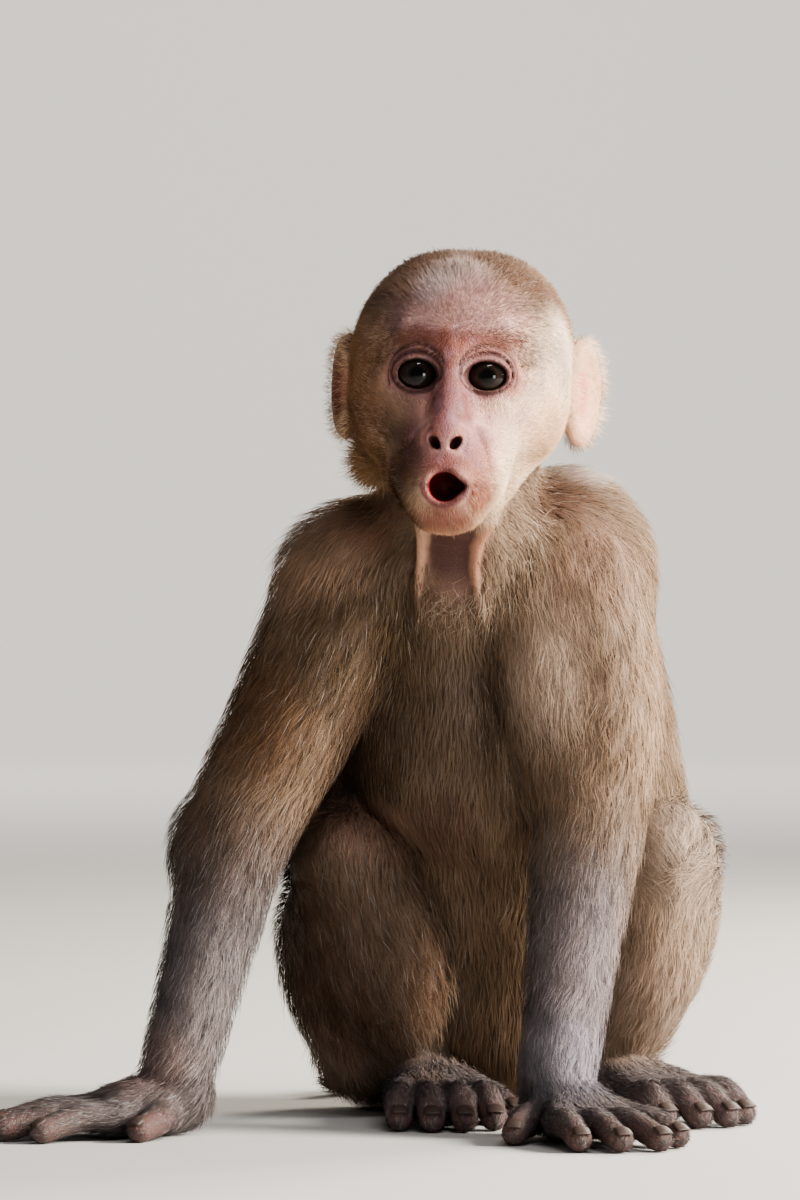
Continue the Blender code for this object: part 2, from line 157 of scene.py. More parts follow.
trunkFur = dict(coat=5.0, hair=13.0)
ball("trunk", (0, 4, 35.5), (42, 40, 38), blend=10, lie=(0, 0.3, -1), **trunkFur)
limb("trunk", [(-14, -22, 184, 23), (-10, -6, 150, 29), (-3, 2, 112, 33), (1, 6, 72, 35), (0, 10, 42, 34)],
    blend=16, **trunkFur)
ball("trunk", (1, -9, 83), (49, 36, 46), turned(pitch=-12), blend=16, coat=4.5, hair=12)
ball("trunk", (0, 0, 100), (54, 28, 30), blend=14, **trunkFur)
ball("trunk", (28, -6, 122), (23, 24, 36), blend=14, **trunkFur)
ball("trunk", (-40, -6, 112), (19, 22, 28), blend=14, **trunkFur)
ball("trunk", (-54, -4, 104), (14, 18, 16), blend=12, **trunkFur)
ball("trunk", (-11, -29, 128), (45, 33, 48), turned(pitch=-20, roll=-8), blend=16, coat=4.5, hair=10)
ball("trunk", (-19, -42, 166), (50, 27, 28), blend=16, coat=4, hair=9)
limb("trunk", [(-8, -34, 182, 22), (20, -30, 182, 21), (24, -20, 150, 20)], blend=14, coat=4.5, hair=11)
limb("trunk", [(-30, -34, 182, 21), (-52, -34, 174, 18), (-42, -20, 146, 18)], blend=14, coat=4.5, hair=11)
ball("trunk", (11, -34, 192), (18, 17, 14.5), blend=9, coat=5, hair=11, lie=(0.9, 0.3, 0.2))
limb("neck", [(-20, -40, 178, 28), (-20, -48, 204, 24)], blend=9, coat=3.5, hair=9, lie=-1)
limb("neck", [(-20, -52, 182, 22), (-21, -82, 198, 13)], blend=12, coat=2, hair=5, lie=-1)

shoulder = {right: [(-54, -46, 170, 24), (-69, -50, 132, 22.5)],
    left: [(17, -46, 170, 23), (24, -56, 130, 21.5)]}
forearmMiddle = {right: (-97, -64, 57), left: (15, -78, 56)}
fingers = [(-12.5, 27), (-4.2, 31), (4.2, 32), (12.5, 26)]  # offset across the knuckles, length
knuckles = 26.0
tips = {"hand": [], "foot": []}  # (side, tip, heading, radius) of each finger and toe, for the nails
for side, word in sides.items():
    limb("arm_" + word, shoulder[side] + [(*elbow[side], 19.2), (*forearmMiddle[side], 15.5),
        (*wrist[side], 20, 13)], blend=(14, 3), coat=(4.5, 2.5), hair=(12, 7))
    if side == right:
        ball("arm_right", (-97, -50, 88), (13.5, 15, 16), blend=9, coat=3.5, hair=9, lie=(-0.3, 0, -1))
    else:
        limb("arm_left", [(4, -50, 162, 18), (9, -56, 136, 19.5), (15, -62, 110, 18)], blend=6, coat=4,
            hair=10)
    group, start, toward = "arm_" + word, wrist[side], handPoints[side]
    for across, length in fingers:
        slant = math.degrees(math.atan2(across, knuckles))
        knuckle = heading(start, toward + slant, knuckles)
        outward = toward + fingerFan[side] * across / 12.5
        limb(group, [(*start, 12, 9.5), (*heading(start, toward + slant * 0.8, 14), 9.5, 8),
            (*knuckle, 7.2, 6)], blend=5, coat=(2.4, 1.4), hair=(7.5, 6.5))
        tip = (*heading(knuckle, outward, length), 3.9)
        limb(group, [(*knuckle, 7.2, 5.8), (*heading(knuckle, outward, length / 2), 7.2, 4.8), (*tip, 4.2)],
            blend=1.6, coat=(1.2, 0.4), hair=(5.5, 2.6))
        tips["hand"].append((side, tip, outward, 4.2))
    inward = -side
    tip = (*heading(start, toward + inward * 50, 31), 3.9)
    limb(group, [(*heading(start, toward + inward * 40, 6), 9, 7.5),
        (*heading(start, toward + inward * 56, 19), 6.4, 5.4), (*tip, 4.2)], blend=(4, 1.6), coat=(1.2, 0.3),
        hair=(3.5, 1.6))
    tips["hand"].append((side, tip, toward + inward * 35, 4.2))

ball("leg_right", (-41, 21, 21), (27, 23, 22), blend=12, coat=4, hair=11, lie=(-0.4, -0.3, -1))
ball("leg_right", (-57, -20, 87), (17.5, 18, 18), blend=7, coat=4, hair=10, lie=(-0.3, -0.6, -1))
hip = {right: [(-28, 14, 38, 35), (-46, -6, 58, 30)], left: [(20, 14, 38, 34), (36, -6, 60, 28)]}
shinMiddle = {right: (-47, -24, 50, 20), left: (40, -22, 50, 19)}
toes = [(-11.5, 70), (-3.9, 75), (3.9, 76), (11.5, 71)]
ballOfFoot = 50.0
for side, word in sides.items():
    limb("leg_" + word, hip[side] + [(*knee[side], 20)], blend=(14, 4), coat=(4.5, 3.5), hair=(12, 10))
    limb("leg_" + word, [(*knee[side], 19.3), shinMiddle[side], (*ankle[side], 12.5)], blend=6,
        coat=(3.5, 2.5), hair=(10, 8))
    if side == right:
        limb("leg_right", [(-48, -25, 76, 18.5), (-38, -24, 50, 20), (-32, -16, 26, 13)], blend=6, coat=3.5,
            hair=9)
        limb("leg_right", [(-56, -8, 58, 22), (-54, -6, 42, 22.5), (-49, 0, 24, 18)], blend=8, coat=3.5,
            hair=10)
    group = "foot_" + word

    def onFoot(along, across):
        return heading(heading(heel[side], footPoints[side], along), footPoints[side] + 90, across)

    limb(group, [(*heel[side], 10, 10.3), (*onFoot(16, 0), 13, 11), (*onFoot(30, 0), 11, 10)], blend=6,
        coat=2.4, hair=9)
    for across, length in toes:
        limb(group, [(*onFoot(22, across * 0.4), 12, 9), (*onFoot(38, across * 0.8), 10.5, 7.5),
            (*onFoot(ballOfFoot, across), 8.5, 6.6)], blend=5, coat=(2.4, 1.6), hair=(9, 7))
        joint = ballOfFoot + (length - ballOfFoot) * 0.55
        tip = (*onFoot(length, across * 1.28), 4.1)
        limb(group, [(*onFoot(ballOfFoot, across), 8.5, 6.4), (*onFoot(joint, across * 1.18), 9.6, 5.5),
            (*tip, 4.5)], blend=1.8, coat=(1.3, 0.5), hair=(6, 2.8))
        tips["foot"].append((side, tip, footPoints[side], 4.5))
    inward = -side
    tip = (*onFoot(51, inward * 23), 4.3)
    limb(group, [(*onFoot(18, inward * 5), 9, 8), (*onFoot(36, inward * 17), 7.2, 6.2), (*tip, 4.7)],
        blend=(5, 2), coat=(1.5, 0.4), hair=(4, 1.6))
    tips["foot"].append((side, tip, footPoints[side] + inward * 20, 4.7))

limb("tail", [(0, 34, 34, 14), (2, 50, 18, 11), (0, 66, 9, 9.2), (-10, 82, 7.4, 7.8), (-28, 90, 6.7, 7.1),
    (-48, 86, 6, 6.4), (-60, 72, 5.2, 5.6)], blend=(8, 4), coat=(4, 2.2), hair=(10, 6))

# The head's hair streams away from the brows and the lips, so these masses have no lie of their own.
headBall((0, 8, 5), (35.8, 44, 34.8), coat=2.6)
for side in sides:
    headBall((side * 9, 8, 9), (22, 31, 28), blend=6, coat=2.6)
headBall((0, 24, -8), (29, 28, 27), blend=14, coat=4)
headBall((0, -16, 4), (31, 20, 27), blend=12, coat=1.6)
for side in sides:
    headBall((side * 17.5, -12, -11.5), (16, 21, 16), blend=9, coat=1.4)
    headLimb([(side * 15, -4, -18, 12), (side * 7, -27, -36.5, 9.5)], coat=1.8)
    headLimb([(side * 12, -24, -12, 12), (side * 6.5, -42, -30, 10)], blend=9, coat=0.8)
headBall((-21, 2, -26), (13, 9, 12), blend=5, coat=5.5)
headBall((-1, -12, -29), (18, 24, 18), blend=9, coat=1.8)
headBall((0, -38, -31), (16.5, 17, 15), blend=7, coat=0.8)
headLimb([(-13, -31, 10.5, 5.5), (0, -33.5, 8, 5.5), (13, -31, 10.5, 5.5)], blend=7, coat=0.8)
headLimb([(0, -34, 3, 5.2), (0, -41.5, -8, 5.6), (0, -49.4, -19, 5.6)], blend=7, coat=0.4)
headBall((0, -50.5, -20.6), (7.2, 5.5, 4.8), blend=3.5, coat=0.4)
headBall((0, -43, -42.5), (11, 11, 8), blend=6, coat=1)
headBall((0, -50, -36.4), (11.5, 10, 8.6), blend=6, coat=0.5)
earFlare = 21.0  # degrees, the rear rim standing out from the head


def inEar(side, out, y, z):
    return np.array((side * 36.0, 10, -4.4)) + turned(yaw=-side * earFlare) @ np.array([side * out, y, z])


for side, word in sides.items():
    flare = turned(yaw=-side * earFlare)
    headBall(inEar(side, 0, 0, 0), (4.6, 11.5, 17), flare, "ear_" + word, blend=2.5, coat=0.4)
    headBall(inEar(side, 4.4, -0.8, 0), (4.4, 8.8, 13.4), flare, "ear_" + word, blend=1, carve=True)
    headBall((side * eyeAt[0], eyeAt[1], eyeAt[2]), (9.3, 9.3, 9.3), blend=2)
    headBall((side * eyeAt[0], eyeAt[1] - 11.5, eyeAt[2]), (7.3, 8, 5.2), blend=0.5, carve=True)
    headBall((side * 3.1, -54.0, -22.5), (1.35, 4.2, 2.4), turned(roll=side * 42), blend=0.6, carve=True)
headBall((0.4, -60, -35.7), (4.9, 13, 5.1), blend=1.6, carve=True)
headBall((3.1, -60, -35.5), (4.2, 12, 2.3), blend=1.4, carve=True)
for side in sides:
    headBall((side * eyeAt[0], eyeAt[1], eyeAt[2]), [eyeRadius + 0.25] * 3, blend=0.2, carve=True)


def boxOf(mass, margin):
    if mass["curve"] is None:
        reach = np.sqrt(mass["turn"]**2 @ mass["radii"]**2) + margin
        return mass["centre"] - reach, mass["centre"] + reach
    reach = mass["curve"][:, 3].max() + margin
    return mass["curve"][:, :3].min(axis=0) - reach, mass["curve"][:, :3].max(axis=0) + reach


def nearMass(mass, points, margin):
    low, high = boxOf(mass, margin)
    return np.flatnonzero(((points > low) & (points < high)).all(axis=1))


def distance(mass, points, grown=0.0):  # grown 0 is the skin, 1 the tips of the coat
    if mass["curve"] is None:
        radii = mass["radii"] - mass["coat"][0] * (1 - grown)
        local = (points - mass["centre"]) @ mass["turn"]
        reach = np.linalg.norm(local / radii, axis=1)
        slope = np.linalg.norm(local / radii**2, axis=1)
        return reach * (reach - 1) / np.maximum(slope, 1e-9), mass["blend"][0], np.zeros(len(points))
    curve = mass["curve"].copy()
    curve[:, 3] -= np.linspace(*mass["coat"], len(curve)) * (1 - grown)
    nearest = np.full(len(points), np.inf)
    along = np.zeros(len(points))
    for i, (start, end) in enumerate(zip(curve[:, :3], curve[1:, :3])):
        span = end - start
        away = points - start
        t = np.clip(away @ (span / (span @ span)), 0, 1)
        away -= t[:, None] * span
        gap = np.sqrt(np.einsum("ij,ij->i", away, away)) - curve[i, 3] - (curve[i + 1, 3] - curve[i, 3]) * t
        closer = gap < nearest
        nearest[closer] = gap[closer]
        along[closer] = i + t[closer]
    share = along / (len(curve) - 1)
    return nearest, mass["blend"][0] + (mass["blend"][1] - mass["blend"][0]) * share, share


def join(one, other, blend):
    share = np.clip(0.5 + 0.5 * (one - other) / blend, 0, 1)
    return one + (other - one) * share - blend * share * (1 - share)


def bodyField(points, grown=0.0, chosen=None):
    body = np.full(len(points), 40.0)
    for mass in masses if chosen is None else chosen:
        if grown and mass["fold"]:
            continue
        near = nearMass(mass, points, max(mass["blend"]) + (2 if mass["fold"] else 6))
        if len(near):
            reach, blend, _ = distance(mass, points[near], grown)
            here = body[near]
            body[near] = -join(-here, reach, blend) if mass["carve"] else join(here, reach, blend)
    return body


# Each fold is drawn on the front of the face or body and laid on the skin that is already there.
headMasses = [mass for mass in masses if mass["group"] in ("head", "ear_right", "ear_left")]
bodyMasses = [mass for mass in masses if mass["group"] in ("neck", "trunk", "arm_right", "arm_left")]


def onFront(xs, zs, head=True):  # the first point of the skin met on the way in from the front
    depths = np.arange(-78.0, -20.0, 0.5) if head else np.arange(-120.0, -30.0, 0.5)
    trial = np.stack([np.repeat(xs, len(depths)), np.tile(depths, len(xs)), np.repeat(zs, len(depths))],
        axis=1)
    where = headAt + trial @ headTurn.T if head else trial
    field = bodyField(where, chosen=headMasses if head else bodyMasses).reshape(len(xs), len(depths))
    first = (field < 0).argmax(axis=1)
    rows = np.arange(len(xs))
    before, after = field[rows, first - 1], field[rows, first]
    y = depths[first - 1] + 0.5 * before / np.maximum(before - after, 1e-6)
    found = np.stack([xs, y, zs], axis=1)
    return headAt + found @ headTurn.T if head else found


def fold(xs, zs, radius, lift=0.0, carve=False, blend=0.6, head=True, closed=False):
    xs, zs = np.array(xs, float), np.array(zs, float)
    evenly = isinstance(radius, tuple) or not np.ndim(radius)
    radii = np.linspace(*pair(radius), len(xs)) if evenly else radius
    points = onFront(xs, zs, head)
    points[:, 1] -= lift
    if closed:
        points, radii = np.vstack([points, points[:1]]), np.append(radii, radii[0])
    waiting.append(newMass("head" if head else "neck", np.column_stack([points, radii]), blend, carve,
        fold=True))


def ring(centre, width, height, start=0.0, end=360.0, count=28):
    angles = np.radians(np.linspace(start, end, count, endpoint=end - start < 360))
    return centre[0] + width * np.cos(angles), centre[1] + height * np.sin(angles)


waiting = []
lidLook = dict(rimRadius=0.5, foldRadius=0.65, creaseDepth=0.42)
for side in sides:
    middle = (side * eyeAt[0], eyeAt[2])
    rimX, rimZ = ring(middle, 7.0, 5.0)
    towardNose = np.clip(-side * (rimX - middle[0]) / 6.9, 0, 1) ** 3
    fold(rimX - side * towardNose * 0.5, rimZ - towardNose * 0.9, lidLook["rimRadius"], closed=True,
        blend=0.7)
    creaseX, creaseZ = ring(middle, 7.8, 6.3)
    fold(creaseX, creaseZ + 0.7, lidLook["creaseDepth"], carve=True, closed=True, blend=0.7)
    outer = (-20, 160) if side == left else (20, 200)
    taper = np.sin(np.linspace(0.1, math.pi - 0.1, 28)) ** 0.7
    fold(*ring(middle, 8.3, 8.1, *outer), lidLook["foldRadius"] * taper, blend=1.0, lift=-0.15)
    fold(*ring(middle, 8.9, 9.3, *outer), 0.36 * taper, carve=True, blend=0.9)
    under = (-150, -35) if side == left else (-145, -30)
    fold(*ring(middle, 9.0, 7.6, *under), 0.2, carve=True, blend=0.8)
    # wings of the nose, and the fold from them down beside the mouth
    fold(side * np.array([4.6, 6.2, 6.7, 5.6]), [-17.6, -19.4, -22.2, -24.8], (0.26, 0.3), carve=True,
        blend=1.2)
    fold(side * np.array([8.4, 10.6, 12.4, 13.0]), [-17, -21.5, -26, -30.5], (0.3, 0.1), carve=True,
        blend=2.0)
    # corners of the lips
    long, depthOf = (1.0, 1.0) if side == left else (0.8, 0.5)
    fold(side * np.array([5.6, 7.4, 9.2, 11.2]) * long, [-35.5, -35.5, -35.3, -35.0], (depthOf, 0.3),
        carve=True, blend=0.6, lift=-0.2)
lipX, lipZ = ring((0.5, -35.9), 6.1, 5.5)
fold(lipX + ((lipX - 0.5) / 6.1) ** 3 * 0.9, lipZ, 0.26, closed=True, blend=2.6, lift=-0.5)
throatFolds = (-30.2, -31.0, -31.6, -32.4, -33.2), (-11.8, -14.4, -15.2, -14.2, -11.8)
for across in throatFolds:  # two thin folds of skin from the chin down the throat
    fold(across, [188, 181, 174, 166, 159], np.array([3.0, 1.6, 1.0, 0.7, 0.3]), head=False, blend=3.4,
        lift=np.array([1.0, 1.0, 0.9, 0.6, 0.0]))
for side, word in sides.items():  # rim of the ear and the fold inside it
    rim = [(*inHead(inEar(side, 1.7, 9.9 * math.cos(a), 14.8 * math.sin(a))), 1.2 * math.cos(a * 0.7 - 0.2))
        for a in np.radians(np.arange(-80, 121, 20))]
    inner = [(*inHead(inEar(side, -0.4, 5.0 * math.cos(a) - 2.6, 8.4 * math.sin(a))), 1.2)
        for a in np.radians(np.arange(-70, 125, 20))]
    for curve, blend in ((rim, 1.0), (inner, 1.6)):
        waiting.append(newMass("ear_" + word, np.array(curve), blend, fold=True))
masses += waiting
print("masses:", len(masses))


# The grid is fine round the face and hands and coarse over the trunk. Blocks far from the skin are skipped.
block = 4


def gridLine(*spans):
    line = np.concatenate([np.arange(start, end, step) for start, end, step in spans])
    return line[: len(line) // block * block]


faceStep = 0.6
axes = [gridLine((-170, -58, 1.2), (-58, 22, faceStep), (22, 86, 1.2)),
    gridLine((-156, -66, faceStep * 1.15), (-66, 108, 1.4)),
    gridLine((-4, 28, 0.9), (28, 176, 1.5), (176, 276, faceStep))]


def spread(values):
    for axis in range(3):
        values = np.repeat(values, block, axis=axis)
    return values


def pointsOf(lines, chosen):
    return np.stack([line[at] for line, at in zip(lines, np.nonzero(chosen))], axis=1)


middles = [line.reshape(-1, block).mean(axis=1) for line in axes]
halves = [np.gradient(line).reshape(-1, block).sum(axis=1) / 2 for line in axes]
blocks = [len(line) for line in middles]
rough = bodyField(pointsOf(middles, np.ones(blocks, bool))).reshape(blocks)
reachOf = np.sqrt(halves[0][:, None, None]**2 + halves[1][None, :, None]**2 + halves[2][None, None, :]**2)
chosen = spread(np.abs(rough) < reachOf * 1.6 + 0.8)
field = spread(rough)
field[chosen] = bodyField(pointsOf(axes, chosen))
field = np.maximum(field, -axes[2][None, None, :])
corners = [(i, j, k) for i in (0, 1) for j in (0, 1) for k in (0, 1)]


def surface(lines, values):  # one point in each cell that the skin crosses
    inside = values < 0
    cells = tuple(n - 1 for n in values.shape)

    def cornerOf(of, at):
        return of[tuple(slice(a, a + n) for a, n in zip(at, cells))]

    count = sum(cornerOf(inside, at).astype(np.int8) for at in corners)
    active = np.argwhere((count > 0) & (count < 8))
    index = np.full(cells, -1)
    index[tuple(active.T)] = np.arange(len(active))
    near = {at: values[tuple((active + at).T)] for at in corners}
    total, crossings = np.zeros((len(active), 3)), np.zeros((len(active), 1))
    for one in corners:
        for axis in range(3):
            if one[axis]:
                continue
            a, b = near[one], near[tuple(one[i] + (i == axis) for i in range(3))]
            crosses = ((a < 0) != (b < 0))[:, None]
            t = np.divide(a, a - b, out=np.zeros_like(a), where=crosses[:, 0])[:, None]
            total += crosses * (np.array(one) + t * np.eye(3)[axis])
            crossings += crosses
    at = active + total / crossings
    points = np.stack([np.interp(at[:, i], np.arange(len(lines[i])), lines[i]) for i in range(3)], axis=1)
    quads, steps = [], np.eye(3, dtype=int)
    for axis in range(3):
        u, v = (axis + 1) % 3, (axis + 2) % 3
        cut = [slice(1, -1)] * 3
        cut[axis] = slice(None, -1)
        below = inside[tuple(cut)]
        cut[axis] = slice(1, None)
        above = inside[tuple(cut)]
        for leaving, mask in ((True, below & ~above), (False, ~below & above)):
            cell = np.argwhere(mask)
            around = (cell + du * steps[u] + dv * steps[v] for du, dv in ((0, 0), (1, 0), (1, 1), (0, 1)))
            loop = [index[tuple(step.T)] for step in around]
            quads.append(np.stack(loop if leaving else loop[::-1], axis=1))
    return points, np.concatenate(quads)


def added(name, data):  # a new object in the scene
    made = bpy.data.objects.new(name, data)
    scene.collection.objects.link(made)
    return made


def meshOf(name, points, faces, finish=None):
    mesh = bpy.data.meshes.new(name)
    mesh.vertices.add(len(points))
    mesh.vertices.foreach_set("co", (points * mm).astype(np.float32).ravel())
    mesh.loops.add(faces.size)
    mesh.loops.foreach_set("vertex_index", faces.astype(np.int32).ravel())
    mesh.polygons.add(len(faces))
    mesh.polygons.foreach_set("loop_start", np.arange(0, faces.size, faces.shape[1], dtype=np.int32))
    mesh.update(calc_edges=True)
    mesh.polygons.foreach_set("use_smooth", np.ones(len(faces), bool))
    if finish:
        mesh.materials.append(finish)
    return added(name, mesh)


def read(things, what, width, kind=np.float32):
    values = np.empty(len(things) * width, kind)
    things.foreach_get(what, values)
    return values.reshape(-1, width) if width > 1 else values


points, quads = surface(axes, field)
del field, chosen
skin = meshOf("skin", points, quads)
print("skin cells:", len(quads))

# Fewer faces, then the skin's own unwrap.
skinLook = dict(triangles=190000, headKeeps=0.75, bump=0.7, roughness=0.5)
keep = skin.vertex_groups.new(name="keep")
plain = np.flatnonzero((points[:, 2] < 180) & (points[:, 2] > 26))
fine = np.flatnonzero((points[:, 2] >= 180) | (points[:, 2] <= 26))
keep.add(plain.tolist(), 0.35, "REPLACE")
keep.add(fine.tolist(), 1.0 - skinLook["headKeeps"] * 0.3, "REPLACE")
fewer = skin.modifiers.new("fewer", "DECIMATE")
fewer.ratio = min(1.0, skinLook["triangles"] / (2 * len(quads)))
fewer.use_collapse_triangulate = True
graph = bpy.context.evaluated_depsgraph_get()
thinned = bpy.data.meshes.new_from_object(skin.evaluated_get(graph))
skin.modifiers.clear()
skin.vertex_groups.clear()
skin.data = thinned
skin.data.name = "skin"
bpy.context.view_layer.objects.active = skin
skin.select_set(True)
bpy.ops.object.mode_set(mode="EDIT")
bpy.ops.mesh.select_all(action="SELECT")
bpy.ops.mesh.quads_convert_to_tris()
bpy.ops.uv.smart_project(angle_limit=1.15, island_margin=0.001, margin_method="ADD")
bpy.ops.object.mode_set(mode="OBJECT")
skin.select_set(False)
skin.data.uv_layers[0].name = "OFBake"
mesh = skin.data
points = read(mesh.vertices, "co", 3).astype(float) / mm
normals = read(mesh.vertices, "normal", 3).astype(float)
faces = read(mesh.loops, "vertex_index", 1, np.int32).reshape(-1, 3)
unwrap = read(mesh.uv_layers[0].uv, "vector", 2).astype(float).reshape(-1, 3, 2)
print("skin triangles:", len(faces))

# What each point of the skin belongs to, and the depth, length and lie of the hair there.
groups = sorted({mass["group"] for mass in masses})
nearest = {group: np.full(len(points), 60.0) for group in groups}
found = []
for mass in masses:
    if mass["carve"] or mass["fold"]:
        continue
    near = nearMass(mass, points, 14)
    reach, _, share = distance(mass, points[near])
    nearest[mass["group"]][near] = np.minimum(nearest[mass["group"]][near], reach)
    found.append((mass, near, reach, share))
least = np.min([nearest[group] for group in groups], axis=0)
belongs = {group: np.exp(-(nearest[group] - least) / 3.0) for group in groups}  # mixed over about 3 mm
total = sum(belongs.values())
belongs = {group: value / total for group, value in belongs.items()}
weight, length, lie = np.zeros(len(points)), np.zeros(len(points)), np.zeros((len(points), 3))
for mass, near, reach, share in found:
    pull = np.exp(-(reach - least[near]) / 4.0)
    if mass["group"] in ("head", "ear_right", "ear_left"):
        source = np.where(toHead(points[near])[:, 2:] > 2, inHead((0, -36, 12)), inHead((0, -56, -30)))
        way = unit(points[near] - source)
    elif mass["curve"] is None:
        way = np.broadcast_to(unit(np.array(mass["lie"], float)), (len(near), 3))
    else:
        curve = mass["curve"][:, :3]
        along = unit(np.gradient(curve, axis=0)) * mass["lie"]
        way = along[np.clip((share * (len(curve) - 1)).round().astype(int), 0, len(curve) - 1)]
    weight[near] += pull
    length[near] += pull * (mass["hair"][0] + (mass["hair"][1] - mass["hair"][0]) * share)
    lie[near] += pull[:, None] * way
length /= weight
lie = lie / weight[:, None]
lie -= np.sum(lie * normals, axis=1, keepdims=True) * normals
lie = unit(lie)
depth = np.clip(-bodyField(points, grown=1.0), 0.15, 7.0)
local = toHead(points)
isHead = belongs["head"]
isEar, isArm, isLeg, isFoot = (belongs[name + "_right"] + belongs[name + "_left"]
    for name in ("ear", "arm", "leg", "foot"))
height = points[:, 2]
isHand = isArm * smooth(height, 24, 13)
print("skin read")


def ovalReach(where, middle, radii):  # 1 on the surface of an oval
    return np.linalg.norm((where - np.array(middle, float)) / np.array(radii, float), axis=1)


def patched(values, patches, where):  # lays soft oval patches of a value over another
    for middle, radii, value, amount in patches:
        share = smooth(ovalReach(where, middle, radii), 1.25, 0.6) * amount
        values = values + (np.array(value) - values) * (share[:, None] if values.ndim > 1 else share)
    return values


def painted(values, patches, where):  # the same with screen colours
    lit = [(middle, radii, linear(*colour), amount) for middle, radii, colour, amount in patches]
    return patched(values, lit, where)


def mixed(values, colour, share):  # a share of a screen colour
    return values + (linear(*colour) - values) * share[:, None]


# Screen colours of the coat. A patch is its middle, its reach each way, its colour and its share.
coatTint = dict(back=(138, 115, 95), belly=(142, 118, 97), chest=(132, 112, 94), forearm=(116, 108, 107),
    hand=(106, 97, 95), thigh=(162, 141, 121), shin=(146, 126, 107), foot=(106, 97, 95), tail=(116, 97, 80),
    crown=(124, 101, 86), cheek=(228, 202, 170), forehead=(176, 138, 126))
fur = np.tile(linear(*coatTint["back"]), (len(points), 1))
front = smooth(-normals[:, 1], -0.2, 0.6)
coatShares = dict(
    chest=front * (1 - isArm), belly=front * smooth(height, 118, 90) * (1 - isArm) * (1 - isLeg),
    thigh=isLeg * smooth(points[:, 1], 22, -12), shin=isLeg * smooth(height, 75, 45),
    forearm=isArm * smooth(height, 112, 62), hand=isHand, foot=isFoot, tail=belongs["tail"])
for name, share in coatShares.items():
    fur = mixed(fur, coatTint[name], share)
fur = painted(fur, [
    ((-10, -60, 134), (5, 24, 26), (92, 74, 60), 0.7),  # painted shade in the crease down the chest
    ((20, -60, 168), (22, 30, 20), (166, 142, 122), 0.6),
    ((6, -76, 140), (14, 24, 20), (190, 166, 146), 0.75),
    ((20, -80, 50), (16, 30, 36), (140, 128, 128), 0.7),
    ((46, -60, 60), (24, 30, 40), (178, 150, 126), 0.5),
    ((42, -50, 130), (20, 30, 30), (186, 158, 134), 0.5),
    ((-50, -66, 150), (22, 30, 24), (84, 68, 52), 0.9),
    ((20, -50, 176), (14, 30, 16), (142, 112, 92), 0.6),
    ((-24, -80, 172), (14, 20, 20), (112, 86, 72), 0.7),  # throat
    ((16, -40, 203), (8, 18, 5), (206, 190, 178), 0.6),  # fluff under the left ear
    ((-48, -60, 118), (14, 30, 20), (88, 69, 56), 0.7),  # painted shade in the armpit
    ((-54, -20, 60), (36, 34, 50), (88, 67, 54), 0.85),  # right leg painted darker: painted shade
    # painted highlight on the inside of the right shin
    ((-29, -44, 40), (10, 14, 28), (124, 98, 78), 0.6),
    ((52, -26, 84), (24, 26, 20), (180, 162, 148), 0.5)], points)
headFur = mixed(linear(*coatTint["crown"]), coatTint["cheek"],
    smooth(local[:, 2], 2, -10) * smooth(local[:, 1], 0, -18))
# On the right of the head (x below 0) the temple, cheek, jaw, brow and mouth-side patches are darker than
# their twins on the left: painted shade.
headFur = painted(headFur, [
    ((0, 30, -4), (40, 24, 34), (132, 106, 82), 0.8),
    ((0, -36, 18), (27, 14, 16), coatTint["forehead"], 0.9),
    ((-1, 0, 40), (4.5, 46, 14), (176, 154, 142), 0.5), ((-3, -26, 31), (14, 13, 8), (196, 174, 166), 0.65),
    ((6, -33, 26), (6, 10, 6), (160, 128, 124), 0.5), ((-8, -33, 26), (7, 10, 7), (206, 190, 184), 0.6),
    ((19, -18, 30), (12, 14, 8), (98, 74, 60), 0.7), ((-20, -10, 27), (15, 22, 14), (158, 128, 108), 0.7),
    ((32, -14, 2), (14, 18, 20), (222, 200, 176), 0.85), ((-32, -14, 2), (14, 18, 20), (176, 138, 106), 0.8),
    ((22, -20, -18), (14, 22, 20), (224, 190, 162), 0.95),
    ((-22, -20, -18), (14, 22, 22), (146, 108, 78), 0.9),
    ((10, -26, -38), (12, 18, 12), (226, 194, 164), 0.8),
    ((-11, -28, -38), (12, 20, 14), (100, 74, 54), 0.95),
    ((-31, 4, -28), (11, 14, 14), (186, 152, 116), 0.85),
    ((-18, -24, -34), (9, 16, 16), (122, 92, 68), 0.85), ((0, -46, -12), (17, 16, 34), (206, 164, 144), 0.9),
    ((1, -50, -34), (13, 14, 12), (176, 128, 108), 0.8), ((-28, -6, -20), (9, 18, 16), (132, 102, 76), 0.8),
    ((0, -46, -46), (13, 14, 10), (186, 138, 112), 0.9), ((-12, -40, -31), (8, 14, 12), (112, 76, 58), 0.85),
    ((0, -40, 9), (8, 12, 5), (134, 86, 76), 0.8), ((13, -36, 10.6), (8, 12, 2.4), (138, 96, 86), 0.6),
    ((-12, -36, 10.4), (10, 12, 3), (104, 70, 60), 0.75), ((-20, -30, 6), (8, 14, 10), (138, 106, 86), 0.7)],
    local)
ofHead = np.clip(isHead + isEar, 0, 1)[:, None]
fur += (headFur - fur) * ofHead
